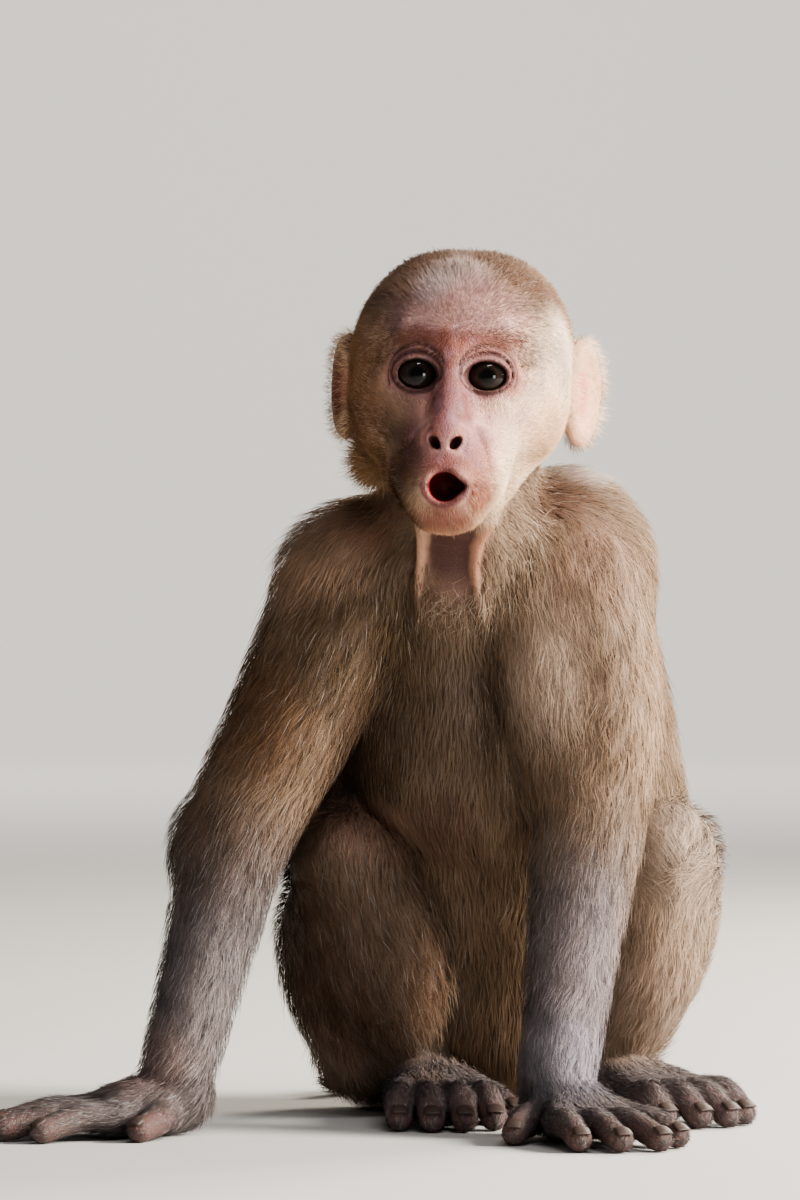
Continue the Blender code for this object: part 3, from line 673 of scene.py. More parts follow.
# Painted light and shade: lighter and darker areas, as factors on red, green and blue: first on the body,
# then on the head.
paintedLightAndShade = patched(np.ones((len(points), 3)), [
    ((-66, -54, 180), (22, 26, 17), (1.8, 1.7, 1.7), 0.9),
    ((-46, -54, 189), (12, 26, 10), (2.1, 1.8, 1.8), 0.8),
    ((-80, -50, 130), (18, 50, 24), (0.66, 0.55, 0.46), 0.9),
    ((-92, -60, 86), (20, 50, 22), (0.6, 0.58, 0.6), 0.9),
    ((-116, -70, 24), (18, 40, 14), (1.6, 1.3, 1.2), 0.8),
    ((10, -90, 24), (18, 40, 16), (1.35, 1.45, 1.65), 0.9),
    ((-50, -40, 96), (16, 40, 12), (1.9, 1.7, 1.8), 0.8),
    ((-57, -10, 20), (18, 40, 12), (1.8, 1.8, 2.0), 0.8),
    ((-29, -44, 50), (9, 20, 24), (0.7, 0.65, 0.62), 0.8),
    ((8, -40, 194), (12, 24, 8), (0.75, 0.6, 0.62), 0.8),
    ((40, -10, 46), (22, 40, 24), (1.2, 1.2, 1.3), 0.8),
    ((-26, -60, 96), (14, 30, 14), (0.78, 0.7, 0.78), 0.8),
    ((-18, -76, 138), (10, 30, 16), (1.2, 1.25, 1.4), 0.8)], points)
paintedLightAndShade *= patched(np.ones((len(points), 3)), [
    ((-12, -38, -41.5), (9, 22, 12), (0.21, 0.16, 0.13), 0.9),
    ((-10, -46, -29.5), (6.5, 16, 8), (0.34, 0.29, 0.27), 0.9),
    ((9.5, -50, -36.5), (5, 14, 6), (0.48, 0.3, 0.28), 0.9),
    ((-26, -20, -12), (10, 20, 12), (0.64, 0.56, 0.56), 0.8),
    ((-15, -38, -16), (8, 16, 9), (0.48, 0.44, 0.42), 0.9),
    ((0.5, -52, -43.5), (8, 12, 3.4), (0.7, 0.55, 0.62), 0.9),
    ((0.5, -54, -28.5), (5, 12, 4), (0.78, 0.68, 0.7), 0.8),
    ((0, -36, 20), (22, 14, 10), (0.84, 0.8, 0.86), 0.8),
    ((-24, -20, 0), (10, 20, 12), (0.86, 0.8, 0.76), 0.8),
    ((9.5, -50, -28), (5, 12, 8), (0.78, 0.62, 0.62), 0.8),
    ((-10, -38, 5), (8, 12, 4), (0.66, 0.68, 0.66), 0.8),
    ((-13, -36, 14), (9, 14, 8), (0.66, 0.66, 0.76), 0.8),
    ((-11, -38, 9.5), (8, 14, 3), (0.8, 0.7, 0.68), 0.8),
    ((-18, -16, 30), (12, 16, 10), (1.25, 1.2, 1.2), 0.7),
    ((-6.5, -44, -12), (2.6, 10, 5), (1.5, 1.5, 1.5), 0.8),
    ((-1.5, -54, -18), (4, 8, 4), (0.74, 0.6, 0.6), 0.8),
    ((-1, -46, -9), (5, 12, 7), (0.76, 0.72, 0.8), 0.8),
    ((18.5, -34, -2), (3.5, 10, 6), (0.78, 0.56, 0.5), 0.8),
    ((12, -38, 8.5), (9, 12, 3), (0.9, 0.76, 0.74), 0.8),
    ((27, -16, -16), (10, 18, 14), (1.0, 0.9, 0.8), 0.8),
    ((-33, 4, -28), (8, 14, 12), (1.4, 1.35, 1.3), 0.9),
    ((-36, 8, -4), (7, 20, 20), (0.62, 0.58, 0.6), 0.9)], local)
fur *= paintedLightAndShade

# Bare skin: pink face with purple patches, dark throat, orange ears, brown-pink hands and feet.
skinTint = dict(under=(170, 136, 112), head=(224, 190, 166), face=(206, 158, 146), purple=(158, 118, 124),
    lips=(112, 66, 64), lids=(70, 44, 40), lipCorner=(96, 46, 40), mouth=(150, 48, 40),
    deepMouth=(84, 22, 18), litEar=(234, 182, 152), shadedEar=(146, 94, 70), insideEar=(206, 128, 112),
    hand=(104, 75, 68), foot=(110, 80, 74), throat=(84, 57, 51), lowThroat=(128, 98, 86),
    crease=(78, 46, 44))
bare = np.tile(linear(*skinTint["under"]), (len(points), 1))
bare = mixed(bare, skinTint["head"], isHead * smooth(local[:, 1], 4, -14))
facePatches = [
    ((0, -46, -8), (27, 26, 30), skinTint["face"], 1.0),
    ((15, -36, -14), (11, 14, 11), (214, 168, 156), 0.6), ((0, -40, 22), (17, 12, 9), (150, 114, 112), 0.7),
    ((-9, -40, 28), (6, 10, 5), (196, 174, 170), 0.5), ((0, -40, 8), (12, 12, 5), (128, 80, 72), 0.75),
    # the patch at x -3.2 beside the bridge of the nose is painted shadow
    ((0.8, -47, -10), (7.5, 12, 26), (122, 74, 72), 0.8), ((-3.2, -40, 4), (3.4, 8, 10), (90, 44, 32), 0.9),
    ((3.6, -40, 6), (2.8, 8, 4), (168, 100, 76), 0.6), ((0.4, -52, -17), (2.0, 9, 5), (134, 84, 84), 0.6),
    ((2, -52, -35.5), (13.5, 14, 10.5), (156, 106, 92), 0.8)]
for side in sides:
    facePatches += [
        ((side * 10.7, -38, 1.4), (12.5, 12, 12), (138, 86, 76), 0.85),
        ((side * 10.7, -38, -7.6), (8.4, 8, 3.0), (168, 130, 126), 0.6),
        ((side * 10.7, -38, -1.6), (7.8, 12, 6.4), (150, 114, 110), 0.8),
        ((side * 5.6, -44, -11), (3, 8, 5.5), (122, 76, 70) if side == right else (122, 72, 68), 0.75),
        ((side * 9.0, -48, -25), (6.5, 10, 8), (140, 94, 90), 0.75 if side == right else 0.65),
        ((side * 4.6, -54, -21), (3, 5, 3.6), (150, 92, 80), 0.7),
        # dark insides of the nostrils: painted shade
        ((side * 3.1, -54, -22.5), (1.8, 6, 2.2), (64, 24, 18), 0.95)]
facePatches += [
    ((1.4, -52, -16), (1.8, 8, 4), (172, 130, 134), 0.6),
    ((2.4, -52, -17.6), (0.5, 3, 0.9), (80, 46, 42), 0.9), ((0, -56, -29), (8, 8, 3.6), (128, 78, 72), 0.85),
    ((10, -50, -31), (6, 10, 6), (176, 126, 112), 0.7), ((11, -46, -42), (9, 12, 9), (220, 176, 160), 0.6),
    # the dark patch at x -14 on the right of the jaw is painted shade
    ((-14, -42, -33), (9, 16, 17), (78, 50, 38), 0.9), ((-6, -50, -36), (4, 8, 7), (118, 72, 64), 0.7),
    ((9.0, -50, -35.5), (4.0, 8, 2.2), (124, 68, 60), 0.85),
    ((0, -52, -42.5), (8, 9, 3.8), (112, 58, 48), 0.9), ((0, -52, -48), (9, 9, 4), (140, 92, 74), 0.7)]
bare = painted(bare, facePatches, local)
bare *= (1 + 0.08 * ripple(points, 7, 21) + 0.09 * ripple(points, 2.2, 22))[:, None]
bare = mixed(bare, skinTint["purple"], 0.55 * smooth(ripple(points, 4.5, 23), 0.0, 1.0))
toMouth = ovalReach(local, (0.5, 0, -35.9), (6.1, 1e9, 5.2))
inFront = smooth(local[:, 1], -42, -48)
lowLip = 0.45 + 0.55 * smooth(local[:, 2], -33, -37)
bare = mixed(bare, skinTint["lips"], smooth(np.abs(toMouth - 1.0), 0.3, 0.05) * lowLip * inFront)
# painted shade in the creases at the corners of the lips
lipLine = np.abs(local[:, 2] + 35.6 - np.abs(local[:, 0]) * 0.03)
lipCorner = smooth(lipLine, 0.9, 0.2) * smooth(np.abs(local[:, 0]), 12.5, 9)
for side in sides:  # dark edges of the lids
    toLid = ovalReach(local, (side * eyeAt[0], 0, eyeAt[2]), (6.6, 1e9, 4.75))
    bare = mixed(bare, skinTint["lids"], smooth(toLid, 1.10, 1.01) * smooth(local[:, 1], -26, -29) * 0.9)
bare = mixed(bare, skinTint["lipCorner"], lipCorner * 0.85 * inFront)
inMouth = smooth(toMouth, 0.92, 0.78) * smooth(local[:, 1], -40, -44) * (isHead > 0.3)
bare = mixed(bare, skinTint["mouth"], inMouth)
# darker deeper in the mouth: painted shade
bare = mixed(bare, skinTint["deepMouth"], inMouth * smooth(local[:, 1], -57.5, -54))
bare = mixed(bare, skinTint["litEar"], belongs["ear_left"])
bare = mixed(bare, skinTint["shadedEar"], belongs["ear_right"])
bare = painted(bare, [(inEar(side, 1, -2, 0), (6, 7, 9), skinTint["insideEar"], 0.8) for side in sides],
    local)
# the same painted light and shade on the bare skin of the head
bare *= 1 + (paintedLightAndShade - 1) * ofHead
bare = mixed(bare, skinTint["hand"], isHand)
bare = mixed(bare, skinTint["foot"], isFoot)
throat = smooth(ovalReach(points, (-21.8, -86, 176), (9.5, 26, 19)), 1.25, 0.75)
throatTint = mixed(linear(*skinTint["throat"]), skinTint["lowThroat"], smooth(height, 176, 162))
bare += (throatTint - bare) * throat[:, None]
ridge, crease = np.zeros(len(points)), np.zeros(len(points))
for mass in waiting:
    if mass["group"] == "neck":
        ridge = np.maximum(ridge, smooth(distance(mass, points)[0], 1.2, 0.0) * smooth(height, 158, 170))
    elif mass["group"] == "head" and mass["carve"] and mass["curve"][:, 3].max() > 0.31:
        crease = np.maximum(crease, smooth(distance(mass, points)[0], 0.65, 0.05))
# the throat folds are painted pale, the right one (x below -22) lighter than the left: painted light
bare += (np.where(points[:, :1] < -22, linear(204, 158, 132), linear(166, 120, 96)) - bare) * ridge[:, None]
# the carved creases round the eyes and at the lip corners are darkened: painted shade
bare = mixed(bare, skinTint["crease"], crease * 0.9)

# Hair on the head: long on the crown and nape, short on the face, none on the lids and lips.
headHair = patched(np.full(len(points), 6.0), [
    ((0, -20, 34), (30, 24, 16), 4.2, 0.9), ((0, -38, 14), (26, 14, 14), 2.2, 1.0),
    ((24, -30, -4), (15, 16, 26), 2.4, 0.95), ((-24, -30, -4), (15, 16, 26), 2.4, 0.95),
    ((26, 2, -20), (12, 12, 18), 7.0, 0.9), ((-26, 2, -24), (14, 12, 18), 10.0, 0.95),
    ((0, -34, -48), (16, 16, 10), 3.0, 0.9), ((0, -48, -18), (18, 16, 26), 1.0, 1.0)], local)
length += (headHair - length) * isHead
length += (3.2 - length) * isEar
lie += (unit((points - headAt) * (1, 0.6, 1)) - lie) * isEar[:, None]
hairless = [throat, ridge, smooth(toMouth, 1.35, 1.1) * (local[:, 1] < -40) * isHead]
for side in sides:
    toEye = ovalReach(local, (side * eyeAt[0], 0, eyeAt[2]), (10.5, 1e9, 8.6))
    hairless.append(smooth(toEye, 1.15, 0.9) * isHead * (local[:, 1] < -20))
nose = [((0, -50, -14), (14, 13, 22), 0.93, 1.0), ((0, -42, 4), (9, 12, 7), 0.85, 1.0)]
ears = [(inEar(side, 2, -1, 0), (9, 10, 13), 0.9, 1.0) for side in sides]
hairless.append(patched(np.zeros(len(points)), nose, local) * isHead)
hairless.append(patched(np.zeros(len(points)), ears, local) * isEar)
bareness = np.max(hairless, axis=0)
covered = smooth(length, 1.5, 6.0) * (1 - bareness)
isFace = smooth(length, 4.2, 2.8) * isHead
# under the coat the skin takes the fur's colour darkened by a quarter: painted shade among the hairs
shown = bare + (fur * 0.75 - bare) * (covered * 0.9)[:, None]


def paint(thing, colours):
    data = thing.data.color_attributes.new(name="tint", type="FLOAT_COLOR", domain="POINT")
    values = np.column_stack([colours, np.ones(len(colours))])
    data.data.foreach_set("color", values.astype(np.float32).ravel())


paint(skin, np.clip(shown, 0, 1))
print("skin painted")


# Materials
def shaderGroup(name, inputs, outputs):
    made = bpy.data.node_groups.new(name, "ShaderNodeTree")
    for label, kind, value in inputs:
        socket = made.interface.new_socket(name=label, in_out="INPUT", socket_type=kind)
        socket.default_value = value
    for label, kind in outputs:
        made.interface.new_socket(name=label, in_out="OUTPUT", socket_type=kind)
    return made, made.nodes.new("NodeGroupInput"), made.nodes.new("NodeGroupOutput")


def node(tree, kind, **values):  # values are inputs, or the node's own settings
    made = tree.nodes.new(kind)
    for name, value in values.items():
        if name.replace("_", " ") in made.inputs:
            made.inputs[name.replace("_", " ")].default_value = value
        else:
            setattr(made, name, value)
    return made


mottle, given, result = shaderGroup("mottle", [("Color", "NodeSocketColor", (1, 1, 1, 1)),
    ("Scale", "NodeSocketFloat", 400.0), ("Amount", "NodeSocketFloat", 0.2)], [("Color", "NodeSocketColor")])
place = node(mottle, "ShaderNodeTexCoord")
noise = node(mottle, "ShaderNodeTexNoise", Detail=4.0, Roughness=0.6)
strength = node(mottle, "ShaderNodeMapRange", From_Min=0.3, From_Max=0.7)
low = node(mottle, "ShaderNodeMath", operation="SUBTRACT")
high = node(mottle, "ShaderNodeMath", operation="ADD")
low.inputs[0].default_value = high.inputs[0].default_value = 1.0
scaled = node(mottle, "ShaderNodeVectorMath", operation="SCALE")
link = mottle.links.new
link(place.outputs["Object"], noise.inputs["Vector"])
link(given.outputs["Scale"], noise.inputs["Scale"])
link(given.outputs["Amount"], low.inputs[1])
link(given.outputs["Amount"], high.inputs[1])
link(noise.outputs["Fac"], strength.inputs["Value"])
link(low.outputs[0], strength.inputs["To Min"])
link(high.outputs[0], strength.inputs["To Max"])
link(given.outputs["Color"], scaled.inputs[0])
link(strength.outputs["Result"], scaled.inputs["Scale"])
link(scaled.outputs["Vector"], result.inputs["Color"])

wrinkles, given, result = shaderGroup("wrinkles",
    [("Scale", "NodeSocketFloat", 900.0), ("Strength", "NodeSocketFloat", 0.3)],
    [("Normal", "NodeSocketVector")])
place = node(wrinkles, "ShaderNodeTexCoord")
cells = node(wrinkles, "ShaderNodeTexVoronoi", feature="DISTANCE_TO_EDGE")
noise = node(wrinkles, "ShaderNodeTexNoise", Detail=5.0)
both = node(wrinkles, "ShaderNodeMath", operation="ADD")
bump = node(wrinkles, "ShaderNodeBump", Distance=0.0004)
link = wrinkles.links.new
for texture in (cells, noise):
    link(place.outputs["Object"], texture.inputs["Vector"])
    link(given.outputs["Scale"], texture.inputs["Scale"])
link(cells.outputs["Distance"], both.inputs[0])
link(noise.outputs["Fac"], both.inputs[1])
link(both.outputs[0], bump.inputs["Height"])
link(given.outputs["Strength"], bump.inputs["Strength"])
link(bump.outputs["Normal"], result.inputs["Normal"])


def material(name, colour=(0.8, 0.8, 0.8), tinted=False, scale=400.0, amount=0.2, wrinkle=0.0,
        wrinkleScale=900.0, **values):
    made = bpy.data.materials.new(name)
    made.use_nodes = True
    tree = made.node_tree
    shader = tree.nodes["Principled BSDF"]
    for label, value in values.items():
        shader.inputs[label.replace("_", " ")].default_value = value
    shader.inputs["Base Color"].default_value = (*colour, 1)
    made.diffuse_color = (*colour, 1)
    if tinted or amount:
        grain = node(tree, "ShaderNodeGroup", node_tree=mottle, Scale=scale, Amount=amount,
            Color=(*colour, 1))
        if tinted:
            own = node(tree, "ShaderNodeAttribute", attribute_name="tint")
            tree.links.new(own.outputs["Color"], grain.inputs["Color"])
        tree.links.new(grain.outputs["Color"], shader.inputs["Base Color"])
    if wrinkle:
        bumps = node(tree, "ShaderNodeGroup", node_tree=wrinkles, Scale=wrinkleScale, Strength=wrinkle)
        tree.links.new(bumps.outputs["Normal"], shader.inputs["Normal"])
    return made


skin.data.materials.clear()
skin.data.materials.append(material("skin", tinted=True, amount=0.09, scale=500, wrinkle=skinLook["bump"],
    wrinkleScale=1400, Roughness=skinLook["roughness"], Specular_IOR_Level=0.35))
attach(skin, "root")
flesh = [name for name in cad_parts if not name.startswith("eye_")]
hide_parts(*flesh)

# Tufts: closed spindles, bent once, lying along the skin with their tips at the coat's outline.
coatLook = dict(spreadOfLength=0.5, clump=0.10, stray=0.04, rootShade=0.82, tipShade=1.08, shadeSpread=0.11,
    rootAngle=50.0, tipAngle=7.0, rootDepth=0.25, bendAt=0.4, patch=0.003)
# Number and width of the hairs in each piece of the coat.
hairs = dict(face=(18000, 0.13), crown=(26000, 0.2), cheeks=(27000, 0.2), ear=(2100, 0.13),
    fringe=(4000, 0.17), temples=(2400, 0.13), wisps=(360, 0.09), armpit=(1800, 0.22), brows=(80, 0.13),
    chest=(32000, 0.24), back=(25000, 0.24), arm=(24000, 0.24), leg=(22000, 0.24), hand=(4200, 0.17),
    foot=(2200, 0.17))
coat = material("coat", tinted=True, amount=0.06, scale=900, Roughness=0.75, Specular_IOR_Level=0.0)


def spindles(name, draw, root, up, way, long, deep, width, colour, place, stray, clumpSize=0.0,
        lift=0.0):
    count = len(root)
    way = unit(way - np.sum(way * up, axis=1, keepdims=True) * up)
    flat, bendAt = math.radians(coatLook["tipAngle"] + lift), coatLook["bendAt"]
    rise = (deep / np.maximum(long, 0.3) - (1 - bendAt) * math.sin(flat)) / bendAt
    rise = np.clip(rise, 0.12 + lift / 60, math.sin(math.radians(coatLook["rootAngle"])))
    rise = np.where(stray, np.minimum(rise + 0.25, 0.95), rise)[:, None]
    start = root - up * coatLook["rootDepth"]
    bend = start + long[:, None] * bendAt * (way * np.sqrt(1 - rise**2) + up * rise)
    tip = bend + long[:, None] * (1 - bendAt) * (way * math.cos(flat) + up * math.sin(flat))
    if clumpSize:
        cell = root / clumpSize + drift(root, 14, 7) * 0.7
        _, lock = np.unique(np.floor(cell).astype(np.int64) @ np.array([1, 4096, 4096**2]),
            return_inverse=True)
        lock = lock.ravel()
        middle = np.stack([np.bincount(lock, tip[:, i]) / np.bincount(lock) for i in range(3)], axis=1)[lock]
        tip += (middle - tip) * (coatLook["clump"] * draw.random(count)[:, None] * ~stray[:, None])
    tip[:, 2] = np.maximum(tip[:, 2], 0.4)
    bend[:, 2] = np.maximum(bend[:, 2], 0.5)
    thick = width * (0.75 + 0.5 * draw.random(count))[:, None] * np.where(stray, 0.7, 1.0)[:, None] / 2
    across = unit(np.cross(way, up))
    # thirds of a turn
    ringOf = [bend + thick * (across * math.cos(t) + up * math.sin(t) * 0.6) for t in (0.0, 2.094, 4.189)]
    verts = np.stack([start, *ringOf, tip], axis=1)
    pattern = np.array([(0, 1, 2), (0, 2, 3), (0, 3, 1), (2, 1, 4), (3, 2, 4), (1, 3, 4)])
    triangles = np.arange(count)[:, None, None] * 5 + pattern
    thing = meshOf(name, verts.reshape(-1, 3), triangles.reshape(-1, 3), coat)
    along = np.array([coatLook["rootShade"], 0.95, 0.95, 0.95, coatLook["tipShade"]])
    paint(thing, np.clip(colour[:, None, :] * along[None, :, None], 0, 1).reshape(-1, 3))
    soft = up[:, None, :] * 0.7 + unit(verts - (root + (tip - root) * bendAt)[:, None, :]) * 0.3
    thing.data.normals_split_custom_set_from_vertices(unit(soft).reshape(-1, 3))
    spot = coatLook["patch"] / 2 * np.array([(-1, -1), (0, -1), (1, -1), (0, 0), (0, 1)])
    layer = thing.data.uv_layers.new(name="OFBake")
    patches = np.clip(place[:, None, :] + spot[None], 0, 1)
    layer.uv.foreach_set("vector", patches[:, pattern.ravel()].astype(np.float32).ravel())
    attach(thing, "root")
    print(name, len(thing.data.polygons))


def tufts(name, mask, pale=0.06, paleColour=(0.5, 0.45, 0.4), clumpSize=5.0, lift=0.0, stray=None,
        tinge=None, chance=None, reach=None, messy=0.12):
    draw = np.random.default_rng(sum(map(ord, name)))
    count, width = hairs[name.split("_")[1]]
    count = count
    corner = faces[mask]
    a, b, c = (points[corner[:, i]] for i in range(3))
    area = np.linalg.norm(np.cross(b - a, c - a), axis=1)
    share = area * ((1 - bareness) * dense if chance is None else chance)[corner].mean(axis=1)
    picked = draw.choice(len(corner), size=count, p=share / share.sum())
    u, v = draw.random((2, count))
    flip = u + v > 1
    u[flip], v[flip] = 1 - u[flip], 1 - v[flip]
    mix = np.stack([1 - u - v, u, v], axis=1)

    def at(values):
        return np.einsum("ij,ij...->i...", mix, values[corner[picked]])

    root, up, way = at(points), unit(at(normals)), unit(at(lie))
    stretch = 1 + coatLook["spreadOfLength"] * (draw.random(count) - 0.6)
    long = (at(length) if reach is None else reach) * stretch
    stray = draw.random(count) < (coatLook["stray"] if stray is None else stray)
    long[stray] *= 1.25
    way = way + drift(root, 9.0, 1) * 0.16
    way += drift(root, 3.0, 4) * 0.10 + draw.normal(size=(count, 3)) * messy
    shade = 1 + coatLook["shadeSpread"] * (draw.random(count) - 0.5) * 2 + 0.12 * ripple(root, 12, 12)
    colour = at(fur) * shade[:, None] if tinge is None else np.array(tinge) * shade[:, None]
    light = draw.random(count) < pale
    paler = colour[light] * 2 if paleColour is None else np.array(paleColour)
    colour[light] += (paler - colour[light]) * 0.35
    place = np.einsum("ij,ijk->ik", mix, unwrap[mask][picked])
    deep = at(depth) * (0.25 + 0.75 * draw.random(count))
    spindles(name, draw, root, up, way, long, deep, width, colour, place, stray, clumpSize, lift)


def mostly(values, least=0.5):  # the faces whose mean is over this
    return values[faces].mean(axis=1) > least


def nearTo(middle, radii, where=local):  # the chance of a hair within a soft oval
    return patched(np.full(len(points), 1e-6), [(middle, radii, 1.0, 1.0)], where)


dense = np.ones(len(points)) + 0.8 * isHead + 1.6 * isHand + 1.6 * isFoot
regions = dict(head=isHead + isEar, trunk=belongs["trunk"] + belongs["neck"] + belongs["tail"])
for word in sides.values():
    regions["arm_" + word] = belongs["arm_" + word]
    regions["leg_" + word] = belongs["leg_" + word] + belongs["foot_" + word]
strongest = np.stack([*regions.values()], axis=1)[faces].mean(axis=1).argmax(axis=1)
inRegion = {name: strongest == i for i, name in enumerate(regions)}
onHead, onTrunk = inRegion["head"], inRegion["trunk"]
facing = normals[faces].mean(axis=1)[:, 1]
topOfHead = toHead(points[faces].mean(axis=1))[:, 2] > 4
facePart, earPart = mostly(isFace), mostly(isEar)
tufts("coat_face", onHead & facePart, clumpSize=2.0, pale=0.3, paleColour=None)
tufts("coat_crown", onHead & ~facePart & topOfHead & ~earPart, clumpSize=3.0, stray=0.08)
tufts("coat_cheeks", onHead & ~facePart & ~topOfHead & ~earPart, clumpSize=3.0)
for word in sides.values():
    tufts("coat_ear_" + word, mostly(belongs["ear_" + word]), lift=24, stray=0.3, reach=4.2,
        messy=0.35, tinge=linear(226, 192, 160))
tufts("coat_fringe", onHead & ~earPart, lift=18, reach=11.0, messy=0.4,
    chance=nearTo((-31, 2, -30), (10, 12, 14)))
tufts("coat_temples", onHead & ~earPart, lift=10, reach=5.0, messy=0.3,
    chance=nearTo((33, -3, -6), (8, 8, 18)) + nearTo((-33, -3, -6), (8, 8, 18)))
tufts("coat_wisps", onTrunk, lift=6, reach=7.0, messy=0.9, stray=0.4,
    tinge=linear(206, 184, 160), chance=nearTo((8, -56, 182), (10, 20, 8), points)
    + nearTo((-10, -76, 162), (24, 20, 7), points))
tufts("coat_armpit", onTrunk | inRegion["leg_right"], lift=22, reach=12.0, messy=0.25,
    chance=nearTo((-60, -24, 104), (10, 20, 10), points))
tufts("coat_brows", onHead, lift=8, reach=5.5, messy=0.3, tinge=linear(40, 28, 22),
    chance=nearTo((15, -36, 11), (7, 8, 2.2)))
tufts("coat_chest", onTrunk & (facing < 0))
tufts("coat_back", onTrunk & (facing >= 0))
for word in sides.values():
    tufts("coat_arm_" + word, inRegion["arm_" + word], pale=0.08)
for word in sides.values():
    tufts("coat_leg_" + word, inRegion["leg_" + word])
for word in sides.values():  # pale and dark hairs mixed on the lower arms, hands and feet
    lowArm = mostly(belongs["arm_" + word] * smooth(height, 110, 80), 0.4)
    tufts("coat_hand_" + word, lowArm, pale=0.6, paleColour=(0.62, 0.6, 0.6), lift=6,
        chance=1 + 2 * isHand)
    tufts("coat_foot_" + word, mostly(belongs["foot_" + word]), pale=0.55,
        paleColour=(0.6, 0.58, 0.58), lift=8)


def gridFaces(rows, columns, closed=False):  # two triangles in each cell of a grid of points
    wide = columns if closed else columns - 1
    i, j = np.divmod(np.arange((rows - 1) * wide), wide)
    a, b = i * columns + j, i * columns + (j + 1) % columns
    return np.vstack([np.stack([a, b, b + columns], axis=1),
        np.stack([a, b + columns, a + columns], axis=1)])


# Eyes: a glossy ball with a dark iris, each in place of its rough one.
eyeLook = dict(iris=(42, 32, 27), pupil=(9, 7, 7), white=(40, 24, 18), irisRadius=6.4, pupilRadius=2.4,
    gaze=2.0, roughness=0.06, rings=40, spokes=64)
eyePaint = material("eye", tinted=True, amount=0.25, scale=900, Roughness=eyeLook["roughness"],
    Specular_IOR_Level=0.32)
rings, spokes = eyeLook["rings"], eyeLook["spokes"]
polar = np.linspace(0, math.pi, rings + 1)[1:-1]
turn = np.arange(spokes) * 2 * math.pi / spokes
shell = np.stack([np.outer(np.sin(polar), np.cos(turn)), -np.outer(np.cos(polar), np.ones(spokes)),
    np.outer(np.sin(polar), np.sin(turn))], axis=2).reshape(-1, 3)
shell = np.vstack([shell, [[0, -1, 0], [0, 1, 0]]]) * eyeRadius
spoke, following = np.arange(spokes), (np.arange(spokes) + 1) % spokes
first, last, base = len(shell) - 2, len(shell) - 1, (rings - 2) * spokes
eyeFaces = np.vstack([gridFaces(rings - 1, spokes, closed=True),
    np.stack([np.full(spokes, first), following, spoke], axis=1),
    np.stack([np.full(spokes, last), base + spoke, base + following], axis=1)])
off = np.hypot(shell[:, 0], shell[:, 2]) + 20 * (shell[:, 1] > 0)  # the back of the ball stays plain
colours = mixed(np.tile(linear(*eyeLook["white"]), (len(shell), 1)), eyeLook["iris"],
    smooth(off, eyeLook["irisRadius"] + 0.3, eyeLook["irisRadius"] - 0.5))
colours = mixed(colours, eyeLook["pupil"], smooth(off, eyeLook["pupilRadius"] + 0.6,
    eyeLook["pupilRadius"] - 0.4))
for side, word in sides.items():
    eye = meshOf("eyeball_" + word, eyeMiddles[side] + shell @ (headTurn @ turned(yaw=eyeLook["gaze"])).T,
        eyeFaces, eyePaint)
    paint(eye, colours)
    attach(eye, "root")
    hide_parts("eye_" + word)

# Nails: small curved plates that hug the end of each finger and toe.
nailLook = dict(colour=(70, 56, 50), halfAngle=40, fromAngle=86, toAngle=24, thickness=0.35, overhang=0.7)
nailPaint = material("nail", linear(*nailLook["colour"]), amount=0.2, scale=600, Roughness=0.55)
rows, columns = 9, 7
size = rows * columns
plate = gridFaces(rows, columns)
edge = np.array([*range(columns - 1), *range(columns - 1, size - 1, columns),
    *range(size - 1, size - columns, -1), *range(size - columns, 0, -columns)])
after = np.roll(edge, -1)
above = np.array([0, 0, 1])
for word, ends in tips.items():
    for side, sideWord in sides.items():
        verts, triangles = [], []
        for whose, tip, pointing, radius in ends:
            if whose != side:
                continue
            ahead = np.array([math.sin(math.radians(pointing)), -math.cos(math.radians(pointing)), 0])
            across = np.array([-ahead[1], ahead[0], 0])
            v, u = np.meshgrid(np.linspace(0, 1, rows), np.linspace(-1, 1, columns), indexing="ij")
            lean = nailLook["fromAngle"] + (nailLook["toAngle"] - nailLook["fromAngle"]) * v
            up = np.radians(lean)[..., None]
            out = np.radians(nailLook["halfAngle"] * u * (1 - 0.25 * v**3 - 0.2 * (1 - v) ** 4))[..., None]
            way = np.cos(out) * (np.cos(up) * ahead + np.sin(up) * above) + np.sin(out) * across
            for layer in (0.0, nailLook["thickness"]):
                reach = radius - 0.3 + layer + nailLook["overhang"] * v[..., None] ** 3
                verts.append((np.array(tip) + way * reach).reshape(-1, 3))
            base = (len(verts) - 2) * size
            triangles += [base + plate[:, ::-1], base + size + plate]
            triangles += [base + np.stack([edge, after, edge + size], axis=1),
                base + np.stack([after, after + size, edge + size], axis=1)]
        nail = meshOf(f"nails_{word}_{sideWord}", np.vstack(verts), np.vstack(triangles), nailPaint)
        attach(nail, "root")
print("eyes and nails")

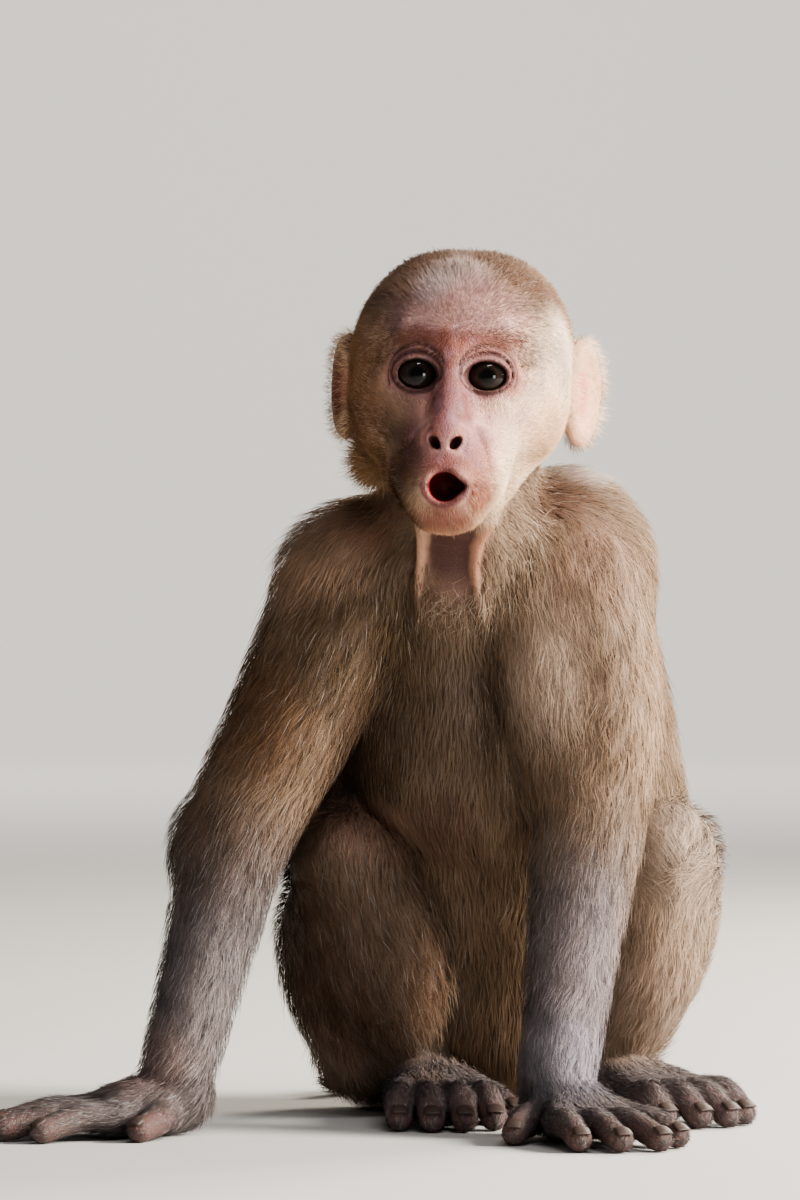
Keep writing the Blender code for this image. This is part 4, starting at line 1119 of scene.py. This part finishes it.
# Floor that curves up behind the animal, soft light from the front right, and the camera.
floorLook = dict(colour=(0.64, 0.62, 0.59), wide=10.0, near=-6.0, flat=4.8, curve=2.0, high=7.0)
flat, curve = floorLook["flat"], floorLook["curve"]
profile = [(floorLook["near"], 0.0), (flat, 0.0)]
profile += [(flat + curve * math.sin(a), curve - curve * math.cos(a))
    for a in np.radians(np.arange(6, 91, 6))]
profile.append((flat + curve, floorLook["high"]))
verts = np.array([(x, y, z) for y, z in profile for x in (-floorLook["wide"], floorLook["wide"])]) / mm
strips = np.array([(2 * i, 2 * i + 1, 2 * i + 3, 2 * i + 2) for i in range(len(profile) - 1)])
floor = meshOf("floor", verts, strips, material("floor", floorLook["colour"], amount=0.0, Roughness=0.85))

# Place, aim and size in metres, power in watts, and colour of each lamp.
lightLook = dict(key=((1.8, -0.62, 0.95), (0, -0.03, 0.16), (0.7, 0.9), 132.0, (1.0, 0.955, 0.89)),
    fill=((-1.5, -1.6, 0.7), (0, -0.03, 0.14), (1.2, 1.2), 0.3, (0.93, 0.95, 1.0)),
    rim=((0.9, 1.1, 0.9), (0, 0, 0.16), (0.6, 0.6), 30.0, (1.0, 0.93, 0.82)),
    window=((0.56, -1.45, 0.2), (0, -0.1, 0.22), (0.26, 0.3), 3.2, (0.95, 0.97, 1.0)),
    sky=((0.3, -0.95, 1.35), (0, -0.1, 0.22), (1.0, 0.12), 7.0, (0.95, 0.97, 1.0)),
    backdrop=((0, 3.0, 3.0), (0, 6.5, 0.6), (4.0, 0.8), 200.0, (1.0, 0.98, 0.95)))
for name, (place, aim, (wide, high), power, colour) in lightLook.items():
    lamp = bpy.data.lights.new(name, "AREA")
    lamp.shape = "RECTANGLE"
    lamp.size, lamp.size_y = wide, high
    lamp.energy = power
    lamp.color = colour
    made = added(name, lamp)
    made.location = place
    made.rotation_euler = (Vector(aim) - Vector(place)).to_track_quat("-Z", "Y").to_euler()
    made.visible_camera = False
worldLook = dict(colour=(0.86, 0.84, 0.82), strength=0.145)
world = bpy.data.worlds.new("world")
scene.world = world
world.use_nodes = True
background = world.node_tree.nodes["Background"]
background.inputs["Color"].default_value = (*worldLook["colour"], 1)
background.inputs["Strength"].default_value = worldLook["strength"]

cameraLook = dict(focal=193.6, place=(-0.038, -2.060, 0.164), farthest=50)
lens = bpy.data.cameras.new("camera")
lens.lens = cameraLook["focal"]
lens.clip_end = cameraLook["farthest"]
camera = added("camera", lens)
camera.location = cameraLook["place"]
camera.rotation_euler = (math.pi / 2, 0, 0)
scene.camera = camera
scene.view_settings.view_transform = "AgX"
scene.view_settings.look = "AgX - Medium High Contrast"
